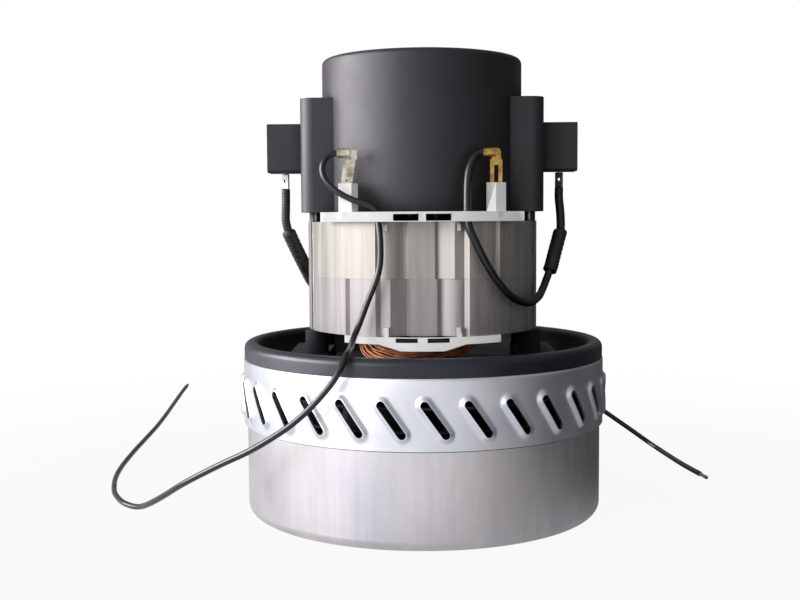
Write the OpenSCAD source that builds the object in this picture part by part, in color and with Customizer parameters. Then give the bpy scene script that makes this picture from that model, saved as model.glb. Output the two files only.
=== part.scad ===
// Two-stage bypass vacuum motor: a drawn fan casing with a slotted exhaust band below,
// an open-frame universal motor above it, and two supply leads.
// Millimetres. The origin is the centre of the casing's base and Z runs up the shaft.
// The front looks along -Y, and the whole motor repeats when turned half round.

/* [Fan casing] */
// outside diameter of the drawn fan shell
shell_d = 140.7; // [136:0.1:146]
// height of the fan shell
shell_h = 38; // [36:0.5:40]
// sheet thickness of the shell
shell_t = 1.2; // [0.8:0.1:1.6]
// outside radius of the shell's bottom corner
shell_corner_r = 4; // [2:0.5:6]
// diameter of the air intake in the base
intake_d = 40; // [34:1:44]
// height of the intake's turned-up lip
intake_lip_h = 6; // [5:0.5:7]
// height of the exhaust band
band_h = 25.4; // [24.5:0.1:27]
// sheet thickness of the exhaust band
band_t = 1; // [0.8:0.1:1.3]
// how far the band overlaps the shell
band_lap = 2.2; // [1.5:0.1:3]

/* [Exhaust slots] */
// number of slanted slots
slot_count = 30; // [24:2:30]
// length of a slot
slot_l = 15.5; // [13:0.5:16]
// width of a slot
slot_w = 2.4; // [1.6:0.1:2.8]
// slope of a slot from the horizontal
slot_tilt = 55; // [50:1:65]
// width of the raised lip round a slot
slot_lip_w = 1.6; // [1.2:0.1:1.9]
// height of the raised lip round a slot
slot_lip_h = 1.3; // [0.9:0.1:1.5]
// turn of the slot pattern from the front
slot_phase = 3.3; // [0:0.1:6]

/* [Air fans] */
// gap between the rotating fans and the shell's wall
fan_tip_gap = 6.1; // [4:0.1:8]
// height of the first fan
first_fan_h = 12; // [11:0.5:13]
// sheet thickness of fans and diffuser
fan_t = 1; // [0.8:0.1:1.2]
// blades on each rotating fan
fan_blades = 7; // [5:1:9]
// vanes in the diffuser
diffuser_vanes = 9; // [7:1:11]

/* [Fan end bracket] */
// height of the bracket's rim
rim_h = 6.4; // [5.5:0.1:8]
// width of the bracket's rim
rim_w = 6; // [5.5:0.1:7]
// rounding of the rim's top edges
rim_round = 2.6; // [1:0.1:2.7]
// depth of the bracket's dish below the rim
dish_depth = 11.6; // [11:0.1:12.5]
// thickness of the dish floor
dish_t = 2; // [1.6:0.1:2.4]
// diameter of the four stator posts
post_d = 9; // [7.5:0.5:10]
// height of the stator above the rim
stator_lift = 4.8; // [4:0.1:6]

/* [Stator] */
// outside diameter of the stator stack
stator_d = 90.8; // [89.8:0.1:92]
// height of the whole stator stack
stack_h = 42; // [38:0.5:46]
// bore of the stator
stator_bore = 45.4; // [45:0.1:47]
// width of a pole body
pole_w = 30; // [28:0.5:31]
// bolt centres, across the motor
bolt_x = 41.2; // [40.8:0.1:41.6]
// bolt centres, front to back
bolt_y = 15; // [14.5:0.1:15.5]
// diameter of the long bolts
bolt_d = 3.2; // [2.8:0.1:3.4]
// turns in one layer of a field coil
coil_turns = 6; // [4:1:6]
// diameter of the field wire
coil_wire_d = 0.9; // [0.7:0.05:0.95]

/* [Commutator end] */
// outside diameter of the commutator bracket
cap_d = 78.7; // [77.5:0.1:79]
// height of the commutator bracket
cap_h = 59.5; // [58.5:0.5:63]
// wall of the commutator bracket
cap_wall = 2; // [1.6:0.1:2.4]
// rounding of the top edge
cap_round = 2; // [1:0.1:2]
// height of the coil insulators above the stack
insulator_h = 3.6; // [3.2:0.1:4.2]
// reach of the side pillars from the shaft
pillar_x = 46.7; // [45.8:0.1:48]
// width of a side pillar
pillar_w = 41; // [40:0.5:43]
// top of a pillar above the bracket's lower edge
pillar_h = 43.5; // [40:0.5:45]
// reach of the brush boxes from the shaft
box_x = 60.9; // [59.5:0.1:63]
// width of a brush box
box_w = 14; // [13.5:0.5:16]
// height of a brush box
box_h = 19.1; // [18:0.1:21]
// depth of the brushes below the bracket's top
brush_drop = 34.2; // [33.5:0.1:35]

/* [Rotor] */
// diameter of the shaft in the armature
shaft_d = 10; // [9.8:0.1:10]
// diameter of the shaft's two ends
shaft_end_d = 8; // [7.8:0.1:8]
// air gap between armature and stator
air_gap = 0.5; // [0.4:0.05:0.7]
// armature slots
rotor_slots = 12; // [10:2:14]
// commutator diameter
commutator_d = 25.4; // [25:0.1:26]
// commutator bars
commutator_bars = 24; // [20:4:28]
// brush width, round the commutator
brush_w = 6.4; // [6:0.1:6.6]
// brush height, along the shaft
brush_h = 11; // [10:0.1:11.2]
// brush length when new
brush_l = 23.4; // [22:0.1:24]

/* [Wiring] */
// outside diameter of the supply leads
lead_d = 2.3; // [2:0.1:2.6]
// outside diameter of the brush wires
jumper_d = 3; // [2.4:0.1:3.1]
// diameter of a lead's stripped strands
strand_d = 1.6; // [1.2:0.1:1.8]
// bare length of a lead's end
strand_l = 8; // [5:0.5:10]

/* [Hidden] */
$fn = 64;
eps = 0.01;
// clearances: fixed pieces that slide together, sprung or turning pieces, ball to race
slip = 0.15;
free = 0.3;
ball_play = 0.03;
press = 0.03;

// levels up the shaft
band_z0 = shell_h - band_lap;
band_z1 = band_z0 + band_h;
rim_z1 = band_z1 + rim_h;
dish_z1 = rim_z1 - dish_depth;
dish_z0 = dish_z1 - dish_t;
stack_z0 = rim_z1 + stator_lift;
stack_z1 = stack_z0 + stack_h;
stack_mid = (stack_z0 + stack_z1) / 2;
cap_z0 = stack_z1 + insulator_h;
cap_z1 = cap_z0 + cap_h;
brush_z = cap_z1 - brush_drop;

// radii of the casing
shell_r = shell_d / 2;
band_r_in = shell_r + slip;
band_r = band_r_in + band_t;
rim_r = band_r - 0.3;
rim_r_in = rim_r - rim_w;
slot_z = band_z0 + 11;
intake_r = intake_d / 2;

// bearings as [bore, outside diameter, width]
lower_bearing = [shaft_d, 26, 8];
upper_bearing = [shaft_end_d, 22, 7];
bearing_balls = 8;
ball_share = 0.3;
race_share = 0.22;
lower_bearing_z = dish_z1 - lower_bearing[2] / 2;
hub_lip = 1;
hub_wall = 4;
hub_z0 = lower_bearing_z - hub_lip;

// fans, diffuser and the stack that clamps them
fan_gap = 1.3;
fan_r = shell_r - shell_t - fan_tip_gap;
first_fan_z = intake_lip_h + fan_gap;
diffuser_z0 = first_fan_z + first_fan_h + fan_gap;
diffuser_z1 = shell_h + fan_t;
second_fan_z0 = diffuser_z1 + fan_gap;
second_fan_z1 = hub_z0 - fan_gap;
spacer_r = 8;
washer_t = 1.5;
nut_h = 6;
nut_af = 13;
washer_z = first_fan_z + first_fan_h - fan_t - washer_t;
nut_z = washer_z - nut_h;
shaft_z0 = nut_z - 1.5;
blade_curve_r = 40;
blade_curve_x = 38;

// stator section
stator_r = stator_d / 2;
bore_r = stator_bore / 2;
window_r0 = bore_r + 3.9;
window_r1 = window_r0 + 6.8;
shoe_gap_a = 30;
bolt_groove_r = bolt_d / 2 + 0.7;
vee_a = 37.6;
vee_depth = 1.2;
// hollow in the middle of each pole's outside: shelf, ramps and raised land
shelf_x = 15.3;
shelf_wall = 1.9;
shelf_depth = 1.6;
shelf_r = stator_r - shelf_depth;
ramp_x = 11.75;
ramp_slope = 26;
ramp_bow = 0.9;
ramp_rings = 8;
land_x = [-5.4, 4.6];
land_foot = [1.4, 1];
land_rise = 1.5;

// field coils: two layers, wound out and back in
coil_pitch = coil_wire_d + 0.87;
coil_r1 = window_r0 + 2.2;
coil_r2 = coil_r1 + 2.2;
coil_half_w = pole_w / 2 + 2.5;
coil_bulge = 4.5;
coil_flare = 0.2;
loop_rings = 24;
side_rings = 5;
end_step = 180 / 8;

// insulators
guide_in = 9.4;
guide_out = 4.1;
guide_r0 = stator_r - guide_in;
guide_r1 = stator_r + guide_out;
guide_wall = 1.6;
guide_t = 1.1;
guide_half_a = 50;
low_guide_r1 = stator_r + 0.7;
low_guide_h = 2.7;
low_guide_half_a = 39;
low_lip_h = 2.3;
low_lip_x = 8;
finger_x = 13.4;
finger_w = 2.1;
finger_l = 3.4;
finger_t = 1.4;
window_x = [1.3, 10.4];
low_window_x = [1.8, 9.8];
tongue_w = 18;
tongue_t = 1.6;
wire_hole_a = 20.1;
wire_hole_r = jumper_d / 2 + free;
wire_hole_off = 1.8;
wire_hole_x = (stator_r + wire_hole_off) * sin(wire_hole_a);
wire_hole_y = -(stator_r + wire_hole_off) * cos(wire_hole_a);
tower_a = 36.7;
tower_gap = 6.15;
tower_x = (cap_d / 2 + tower_gap) * sin(tower_a);
tower_y = -(cap_d / 2 + tower_gap) * cos(tower_a);
tower_w = 5.6;
tower_d = 4.6;
tower_h = 10.5;
lead_tower_turn = -27;
brush_tower_turn = 45;

// terminals
tab_t = 0.8;
tab_sunk = 8;
lead_tab_w = 4.2;
lead_tab_h = 12.1;
lead_neck_h = 8.4;
lead_ear_w = 6.8;
lead_lean = [-0.5, 0.7];
lead_tab_holes = [[0.7, 9.2, 1.3], [-0.1, 5, 0.7], [-0.5, 1, 1.1]];
brush_tab_w = 4.4;
brush_tab_h = 8.4;
brush_slot_w = 1.6;
brush_slot_h = 6.4;
brush_head_r = 1.7;
brush_head_h = 10.9;
barrel_r = jumper_d / 2 + 0.2;
barrel_l = 4.6;
barrel_sunk = 0.4;
barrel_lift = 11;
barrel_y = tower_y - tab_t / 2 - barrel_r + barrel_sunk;
barrel_z = cap_z0 + tower_h + barrel_lift;
lead_barrel_x = -tower_x - 3.8;
brush_barrel_x = tower_x - 4.8;

// commutator bracket
cap_r = cap_d / 2;
cap_r_in = cap_r - cap_wall;
pillar_z1 = cap_z0 + pillar_h;
pillar_corner_r = 5;
foot_r = bolt_d / 2 + 0.8;
foot_slit = 1.4;
bolt_hole_r = bolt_d / 2 + slip;
head_r = 3.2;
head_h = 2.5;
head_seat_z = pillar_z1 - head_h - 0.9;
bolt_tip_z = dish_z1 + 5;
sink_r = head_r + 0.4;
upper_hub_r = upper_bearing[1] / 2 + 3.5;
spoke_w = 5;
spoke_h = 5;
ledge_w = 2;
ledge_h = 1.5;
grille_t = 2.6;
grille_sunk = 0.4;
grille_z = cap_z1 - grille_sunk - grille_t;
grille_hub_r = 12;
grille_slots = 24;
grille_slot_w = 3;

// from the grille down: shaft end, clip, cooling fan and bearing
shaft_stub = 0.5;
clip_h = 1.2;
cooler_h = 6.5;
cooler_gap = 2;
shaft_z1 = grille_z - fan_gap;
cooler_z = shaft_z1 - shaft_stub - clip_h - cooler_h;
upper_bearing_z = cooler_z - cooler_gap - upper_bearing[2];

// brush gear, from the commutator outwards
commutator_r = commutator_d / 2;
commutator_h = 17;
riser_r = commutator_r + 1.8;
riser_h = 3;
brush_x0 = commutator_r + 0.1;
brush_x1 = brush_x0 + brush_l;
guide_x0 = commutator_r + 2.8;
lug_x = 54.5;
lug_t = 0.8;
lug_w = 3.2;
lug_drop = 15.8;
lug_neck = 0.6;
lug_turn = 55;
lug_hole_r = 0.6;
lug_hole_up = 3.2;
lug_z0 = brush_z - lug_drop;
guide_x1 = lug_x - lug_t / 2 - slip;
guide_in_w = brush_w + free;
guide_in_h = brush_h + free;
guide_sheet = 0.7;
sheath_x0 = 27;
sheath_wall = 1.2;
guide_out_w = guide_in_w + 2 * guide_sheet;
guide_out_h = guide_in_h + 2 * guide_sheet;
socket_w = guide_out_w + 2 * slip;
socket_h = guide_out_h + 2 * slip;
sheath_w = socket_w + 2 * sheath_wall;
sheath_h = socket_h + 2 * sheath_wall;
box_round = 1.5;
spring_r = 2.6;
spring_wire_d = 0.7;
spring_curls = 6;

// rotor
shaft_r = shaft_d / 2;
shaft_end_r = shaft_end_d / 2;
core_r = bore_r - air_gap;
slot_r0 = 11.5;
slot_r1 = core_r - 1.7;
core_slot_w = 4.2;
core_slot_mouth = 1.6;
winding_low = 9;
winding_gap = 3.75;
winding_high = brush_z - commutator_h / 2 - riser_h - winding_gap - stack_z1 - slip;
winding_r = 19.5;
winding_r_in = 8.5;
winding_round = 3;
cooler_r = cap_r_in - ledge_w - 1.4;
cooler_hub_r = 7;
cooler_blades = 9;
clip_r = 6.5;

// a route point beside the stack, at an angle from the front and so far out
function by_stack(a, out, z) =
    [(stator_r + out) * sin(a), -(stator_r + out) * cos(a), z];
// a point that runs straight on from a route's end, by a share of its last stretch
function onward(p, share) =
    p[len(p) - 1] + share * (p[len(p) - 1] - p[len(p) - 2]);

// the part of a supply lead that both leads share, from terminal to rim (front one)
lead_head = [
    [lead_barrel_x, barrel_y, barrel_z],
    [lead_barrel_x - 2, barrel_y, barrel_z],
    [-35.4, -39.2, 137.6],
    [-36.6, -39.8, 134],
    [-35.8, -40.6, 130.4],
    [-33, -41.6, 127],
    [-28.6, -42.6, 124],
    [-23.8, -43.4, 121.8],
    [-19.4, -44, 120.6],
    by_stack(-20.6, wire_hole_off, 119.4),
    by_stack(-19.8, wire_hole_off, 117),
    by_stack(-19.8, wire_hole_off, 114.6),
    by_stack(-18.7, 2.4, 111),
    by_stack(-18.2, 2.9, 107.4),
    by_stack(-18.1, 3, 102.6),
    by_stack(-18.6, 3.1, 97.2),
    by_stack(-20.9, 3.5, 91.4),
    by_stack(-24.1, 4.1, 84.8),
    by_stack(-26.8, 5.2, 77.8),
    by_stack(-27.7, 8, 73),
    [-25.5, -54, 70.2],
    [-25.8, -60, 69.4],
    [-26, -64, 69.4],
    [-26.6, -67.2, 68.1],
    [-27.8, -69.2, 65],
    [-30.2, -70.4, 60.8]
];
// the front lead on down to the floor and back past the casing's left side
front_tail = [
    [-33.5, -70.2, 56.6],
    [-38.5, -69, 51],
    [-45.5, -67, 44.6],
    [-54.4, -64, 38.4],
    [-62.8, -60, 33.2],
    [-73.4, -54, 27.5],
    [-88, -44.4, 18.8],
    [-98.4, -33, 11.2],
    [-106.4, -23, 5.6],
    [-111.8, -15.4, 2.4],
    [-116, -10.6, 1.2],
    [-121.4, -5, 1.2],
    [-126.4, 4, 1.2],
    [-131, 15.6, 1.2],
    [-136.6, 38, 1.2],
    [-140.2, 62, 1.2],
    [-143, 93, 1.2],
    [-145.2, 126, 1.2],
    [-147.6, 162, 1.2],
    [-151, 199, 1.2],
    [-155.6, 243, 1.2],
    [-160, 285, 1.2],
    [-162.4, 311, 1.2]
];
// the rear lead on down to the floor at the right
rear_tail = [
    [33.6, 75.4, 56.6],
    [41, 84, 52],
    [51, 93, 45.6],
    [63, 101, 37.2],
    [76, 106.6, 28.6],
    [87, 108.4, 21.2],
    [97, 108, 14.2],
    [106, 105.6, 8],
    [112.4, 101.4, 3.6],
    [116, 94, 1.7],
    [118, 82, 1.2],
    [119.6, 68, 1.2],
    [121.4, 56, 1.2],
    [123.2, 45.6, 1.2]
];
// the front brush wire, from its terminal down past the stator (the rear one is turned)
jumper_head = [
    [brush_barrel_x, barrel_y, barrel_z],
    [brush_barrel_x - 2, barrel_y, barrel_z],
    [18.4, -40, 137],
    [17, -41, 133],
    [16.4, -42, 128],
    [16.3, -43.2, 123],
    by_stack(wire_hole_a, wire_hole_off, 118.6),
    by_stack(wire_hole_a, wire_hole_off, 115),
    by_stack(20.6, 2.4, 112),
    by_stack(21.9, 3.2, 109),
    by_stack(25.4, 3.4, 103.2),
    by_stack(29.7, 3.4, 97.2),
    by_stack(35.2, 3.3, 91.5),
    by_stack(41.8, 3.2, 86.8),
    by_stack(49.6, 3.2, 84.2)
];
// its end below the sleeve, on the right and, turned half round, on the left
jumper_tail_right = [
    by_stack(57.3, 3.3, 83.6),
    by_stack(65.5, 3.4, 85.2),
    by_stack(72, 3.4, 87.6),
    by_stack(77.8, 3.9, 90.6),
    by_stack(80.7, 5.2, 94.6)
];
jumper_tail_left = [
    by_stack(54.8, 3.5, 84.4),
    by_stack(60.1, 4, 86.4)
];
// the sleeves on from there, over the joint and up to the brush lug
sleeve_right = [
    onward(jumper_tail_right, 0),
    onward(jumper_tail_right, 0.5),
    by_stack(83.7, 6.6, 99.6),
    by_stack(85.9, 7.7, 103.6),
    [54.4, -1.9, 108.2],
    [55, -1.2, 110.4],
    [55.1, -1, 111],
    [55.2, -0.6, 114],
    [54.9, -0.1, 119.4],
    [lug_x, 0, lug_z0 - 4.4],
    [lug_x, 0, lug_z0]
];
sleeve_left = [
    onward(jumper_tail_left, 0),
    onward(jumper_tail_left, 0.5),
    by_stack(68.7, 4.2, 90.2),
    by_stack(74.1, 4.3, 94.4),
    by_stack(80.4, 4.6, 98.8),
    by_stack(84.6, 6, 103.6),
    by_stack(87.4, 7.7, 108.4),
    [54, -1.2, 111.2],
    [54.2, -1, 111.8],
    [54.7, -0.4, 115],
    [54.6, -0.1, 119.4],
    [lug_x, 0, lug_z0 - 4.4],
    [lug_x, 0, lug_z0]
];
sleeve_thick_r = 2.75;
sleeve_thin_r = 1.7;
// rings of a sleeve that lie in its thin upper part
sleeve_thin_rings = 5;

// Shared shapes

module ring_2d(r_out, r_in) {
    difference() {
        circle(r = r_out);
        circle(r = r_in);
    }
}

module tube(r_out, r_in, z0, z1) {
    translate([0, 0, z0])
        linear_extrude(z1 - z0)
            ring_2d(r_out, r_in);
}

module box_between(low, high) {
    translate(low)
        cube(high - low);
}

// a wedge of the plane, half_a to each side of the front, out to radius r
module front_wedge(r, half_a) {
    polygon([
        [0, 0],
        [-r * tan(half_a), -r],
        [r * tan(half_a), -r]
    ]);
}

module guide_sector(r_out, r_in, half_a) {
    intersection() {
        ring_2d(r_out, r_in);
        front_wedge(r_out + 1, half_a);
    }
}

module turned(times, step) {
    for (i = [0 : times - 1])
        rotate([0, 0, i * step])
            children();
}

module half_turn() {
    rotate([0, 0, 180])
        children();
}

module at_bolts() {
    for (sx = [-1, 1], sy = [-1, 1])
        translate([sx * bolt_x, sy * bolt_y, 0])
            children();
}

// a rectangle in Y and Z round the brush axis, drawn out along X
module brush_prism(x0, x1, w, h) {
    box_between([x0, -w / 2, brush_z - h / 2], [x1, w / 2, brush_z + h / 2]);
}

// Swept tubes: a ring of points round every route point, carried along without twist

function unit(v) = v / norm(v);
function heading(p, i) = unit(p[min(i + 1, len(p) - 1)] - p[max(i - 1, 0)]);
function square_to(n, t) = unit(n - (n * t) * t);
function first_normal(t) = square_to(abs(t[2]) < 0.9 ? [0, 0, 1] : [1, 0, 0], t);
function normals(p, i = 0, n = [0, 0, 0], done = []) =
    i == len(p) ? done :
    let (t = heading(p, i), m = i == 0 ? first_normal(t) : square_to(n, t))
    normals(p, i + 1, m, concat(done, [m]));

module swept_tube(route, radii, sides) {
    count = len(route);
    n = normals(route);
    points = [
        for (i = [0 : count - 1])
            let (b = cross(heading(route, i), n[i]))
            for (k = [0 : sides - 1])
                let (a = 360 * k / sides)
                route[i] + radii[i] * (cos(a) * n[i] + sin(a) * b)
    ];
    walls = [
        for (i = [0 : count - 2], k = [0 : sides - 1], half = [0, 1])
            let (m = (k + 1) % sides, a = i * sides, b = (i + 1) * sides)
            half == 0 ? [a + k, b + k, b + m] : [a + k, b + m, a + m]
    ];
    last = (count - 1) * sides;
    ends = [
        for (k = [1 : sides - 2], half = [0, 1])
            half == 0 ? [0, k, k + 1] : [last, last + k + 1, last + k]
    ];
    polyhedron(points = points, faces = concat(walls, ends));
}

module cord(route, d) {
    swept_tube(route, [for (p = route) d / 2], 8);
}

// least gap between the turns of a wound tube, measured from ring to ring
function least_gap(p, apart, d) =
    min([for (i = [0 : len(p) - 1 - apart])
        min([for (j = [i + apart : len(p) - 1]) norm(p[i] - p[j])])]) - d;

function half_round(route) = [for (p = route) [-p[0], -p[1], p[2]]];

// Fan casing

module fan_shell() {
    color("silver")
        rotate_extrude()
            difference() {
                union() {
                    difference() {
                        shell_outline(shell_r, 0, shell_corner_r, shell_h);
                        shell_outline(shell_r - shell_t, shell_t,
                            max(shell_corner_r - shell_t, eps), shell_h + 1);
                    }
                    square([intake_r + shell_t, intake_lip_h]);
                }
                translate([0, -1])
                    square([intake_r, intake_lip_h + 2]);
            }
}

// half section of a cup with a rounded bottom corner
module shell_outline(r, z0, corner, z1) {
    translate([0, z0])
        square([r - corner, z1 - z0]);
    translate([0, z0 + corner])
        square([r, z1 - z0 - corner]);
    translate([r - corner, z0 + corner])
        circle(r = corner);
}

module slot_outline(l, w) {
    for (s = [-1, 1])
        translate([s * (l - w) / 2, 0])
            circle(d = w);
    square([l - w, w], center = true);
}

// a slanted slot shape, standing out from the band at the front
module slot_block(r0, r1, grow) {
    translate([0, -r0, slot_z])
        rotate([90, 0, 0])
            rotate([0, 0, -slot_tilt])
                linear_extrude(r1 - r0)
                    slot_outline(slot_l + 2 * grow, slot_w + 2 * grow);
}

module vent_band() {
    lip_root = band_r - band_t / 2;
    color("lightgray")
        difference() {
            union() {
                tube(band_r, band_r_in, band_z0, band_z1);
                rotate([0, 0, slot_phase])
                    turned(slot_count, 360 / slot_count)
                        slot_block(lip_root, band_r + slot_lip_h, slot_lip_w);
            }
            rotate([0, 0, slot_phase])
                turned(slot_count, 360 / slot_count)
                    slot_block(band_r_in - 2, band_r + slot_lip_h + 1, 0);
        }
}

// plan of one curved blade between two radii
module blade_2d(r_in, r_out, t) {
    intersection() {
        ring_2d(r_out, r_in);
        translate([blade_curve_x, 0])
            ring_2d(blade_curve_r + t / 2, blade_curve_r - t / 2);
        square(r_out);
    }
}

module blades(count, r_in, r_out, t, z0, z1) {
    translate([0, 0, z0])
        linear_extrude(z1 - z0)
            turned(count, 360 / count)
                blade_2d(r_in, r_out, t);
}

module diffuser() {
    color("gainsboro") {
        tube(shell_r, intake_r, shell_h, diffuser_z1);
        tube(fan_r, spacer_r + 4, diffuser_z0, diffuser_z0 + fan_t);
        mirror([0, 1, 0])
            blades(diffuser_vanes, intake_r + 3, fan_r - 1, fan_t, diffuser_z0, diffuser_z1);
    }
}

// a closed fan: open eye below, back plate above, curved blades between
module closed_fan(z0, z1) {
    tube(fan_r, intake_r, z0, z0 + fan_t);
    tube(fan_r, shaft_end_r + press, z1 - fan_t, z1);
    blades(fan_blades, intake_r + 2, fan_r - 0.6, fan_t, z0, z1);
}

module first_stage_fan() {
    color("gainsboro")
        closed_fan(first_fan_z, first_fan_z + first_fan_h);
}

module second_stage_fan() {
    color("gainsboro")
        closed_fan(second_fan_z0, second_fan_z1);
}

// Fan end bracket

module rim_section() {
    translate([rim_r_in, band_z1])
        square([rim_w, rim_h - rim_round]);
    translate([rim_r_in + rim_round, band_z1])
        square([rim_w - 2 * rim_round, rim_h]);
    for (r = [rim_r_in + rim_round, rim_r - rim_round])
        translate([r, rim_z1 - rim_round])
            circle(r = rim_round);
}

module bracket_section() {
    spigot_w = 3;
    spigot_h = 4;
    wall_t = 2.4;
    dish_r = rim_r_in - 4;
    rim_section();
    translate([band_r_in - slip - spigot_w, band_z1 - spigot_h])
        square([spigot_w, spigot_h + 1]);
    polygon([
        [dish_r, dish_z0],
        [rim_r_in + wall_t, dish_z0],
        [rim_r_in + wall_t, band_z1 + 1],
        [rim_r_in, band_z1 + 1],
        [dish_r, dish_z1]
    ]);
    translate([0, dish_z0])
        square([dish_r + 1, dish_t]);
    translate([0, hub_z0])
        square([lower_bearing[1] / 2 + hub_wall, hub_lip + lower_bearing[2]]);
}

module fan_end_bracket() {
    ledge_h2 = 7.5;
    ledge_x0 = 36.5;
    ledge_x1 = 52;
    ledge_y = bolt_y + post_d / 2;
    color("#1c1c1e")
        difference() {
            union() {
                rotate_extrude()
                    bracket_section();
                for (s = [-1, 1])
                    scale([s, 1, 1])
                        box_between([ledge_x0, -ledge_y, dish_z0], [ledge_x1, ledge_y, dish_z1 + ledge_h2]);
                at_bolts()
                    translate([0, 0, dish_z0])
                        cylinder(d = post_d, h = stack_z0 - dish_z0);
            }
            translate([0, 0, lower_bearing_z])
                cylinder(d = lower_bearing[1] + 2 * press, h = lower_bearing[2] + 1);
            translate([0, 0, hub_z0 - 1])
                cylinder(r = lower_bearing[1] / 2 - 2.5, h = hub_lip + 2);
            at_bolts()
                translate([0, 0, bolt_tip_z - 1])
                    cylinder(r = bolt_hole_r, h = stack_z0);
        }
}

// Ball bearings

function ball_r(b) = ball_share * (b[1] - b[0]) / 2;
function ball_ring(b) = (b[0] + b[1]) / 4;

module race(b, r_in, r_out, z) {
    translate([0, 0, z])
        rotate_extrude()
            difference() {
                translate([r_in, 0])
                    square([r_out - r_in, b[2]]);
                translate([ball_ring(b), b[2] / 2])
                    circle(r = ball_r(b) + ball_play);
            }
}

module outer_race(b, z) {
    race(b, b[1] / 2 - race_share * (b[1] - b[0]) / 2, b[1] / 2, z);
}

module inner_race(b, z) {
    race(b, b[0] / 2 + press, b[0] / 2 + race_share * (b[1] - b[0]) / 2, z);
}

module balls(b, z) {
    turned(bearing_balls, 360 / bearing_balls)
        translate([ball_ring(b), 0, z + b[2] / 2])
            sphere(r = ball_r(b));
}

module lower_bearing_outer() {
    color("gray")
        outer_race(lower_bearing, lower_bearing_z);
}

module lower_bearing_inner() {
    color("gray")
        inner_race(lower_bearing, lower_bearing_z);
}

module lower_bearing_balls() {
    color("white")
        balls(lower_bearing, lower_bearing_z);
}

module upper_bearing_outer() {
    color("gray")
        outer_race(upper_bearing, upper_bearing_z);
}

module upper_bearing_inner() {
    color("gray")
        inner_race(upper_bearing, upper_bearing_z);
}

module upper_bearing_balls() {
    color("white")
        balls(upper_bearing, upper_bearing_z);
}

// Stator: two half stacks of one lamination, the upper one turned over

function round_y(x, r) = -sqrt(r * r - x * x);

// outline of the hollow: a straight ramp on one side of the land, a bowed one on the other
function pole_hollow() =
    let (
        rim = [shelf_x + shelf_wall, round_y(shelf_x + shelf_wall, stator_r)],
        shelf = [shelf_x, round_y(shelf_x, shelf_r)],
        crease = [ramp_x, round_y(ramp_x, shelf_r)],
        foot_x = [land_x[0] - land_foot[0], land_x[1] + land_foot[1]],
        foot_y = crease[1] + (ramp_x - foot_x[1]) * tan(ramp_slope),
        bow = [-ramp_x, crease[1] - ramp_bow],
        foot = [foot_x[0], foot_y]
    )
    [
        [rim[0], -stator_r - 1], rim, shelf, crease, [foot_x[1], foot_y],
        [land_x[1], foot_y - land_rise], [land_x[0], foot_y - land_rise],
        for (i = [0 : ramp_rings])
            let (t = i / ramp_rings)
            (1 - t) * (1 - t) * foot + 2 * t * (1 - t) * bow + t * t * [-shelf[0], shelf[1]],
        [-rim[0], rim[1]], [-rim[0], -stator_r - 1]
    ];

module rim_notches() {
    rotate([0, 0, vee_a])
        translate([0, -stator_r])
            rotate([0, 0, 45])
                square(vee_depth * sqrt(2), center = true);
    polygon(pole_hollow());
}

module lamination() {
    difference() {
        circle(r = stator_r);
        circle(r = bore_r);
        difference() {
            ring_2d(window_r1, window_r0);
            square([pole_w, 2 * stator_r], center = true);
        }
        intersection() {
            circle(r = window_r0 + 0.5);
            for (s = [-1, 1])
                rotate([0, 0, s * 90])
                    front_wedge(window_r0 + 1, shoe_gap_a);
        }
        at_bolts()
            circle(r = bolt_groove_r);
        rim_notches();
        half_turn()
            rim_notches();
    }
}

module stator_stack_lower() {
    color("darkgray")
        translate([0, 0, stack_z0])
            linear_extrude(stack_mid - stack_z0)
                mirror([1, 0, 0])
                    lamination();
}

module stator_stack_upper() {
    color("darkgray")
        translate([0, 0, stack_mid])
            linear_extrude(stack_z1 - stack_mid)
                lamination();
}

// Field coils: each turn runs up one side of the pole, over it, down and under

// how far the winding has come out from the pole, in turns
function coil_out(x) = x <= coil_turns ? x : 2 * coil_turns - x;
function coil_layer_r(x) =
    coil_r1 + (coil_r2 - coil_r1) * min(max((x - coil_turns) * 2 + 0.5, 0), 1);
// place on one turn, as [along the pole's face in half widths, straight share, bulge share]
function turn_place(j) =
    j < side_rings ? [1, 2 * j / (side_rings - 1) - 1, 0] :
    j < loop_rings / 2 ? [cos((j - side_rings + 1) * end_step), 1, sin((j - side_rings + 1) * end_step)] :
    -turn_place(j - loop_rings / 2);
function coil_point(i) =
    let (
        x = i / loop_rings,
        place = turn_place(i % loop_rings),
        grow = coil_pitch * coil_out(x),
        over = place[2] * (coil_bulge + grow),
        r = coil_layer_r(x) + coil_flare * abs(over),
        a = (coil_half_w + grow) * place[0] / coil_layer_r(x) * 180 / PI
    )
    [r * sin(a), -r * cos(a), stack_mid + place[1] * stack_h / 2 + over];
coil_route = [for (i = [0 : 2 * coil_turns * loop_rings]) coil_point(i)];

module field_coil() {
    color("peru")
        swept_tube(coil_route, [for (p = coil_route) coil_wire_d / 2], 6);
}

module field_coil_front() {
    field_coil();
}

module field_coil_rear() {
    half_turn()
        field_coil();
}

echo(coil_least_gap = least_gap(coil_route, loop_rings / 2, coil_wire_d));

// Insulators: the white wire guides at both ends of the poles

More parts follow.
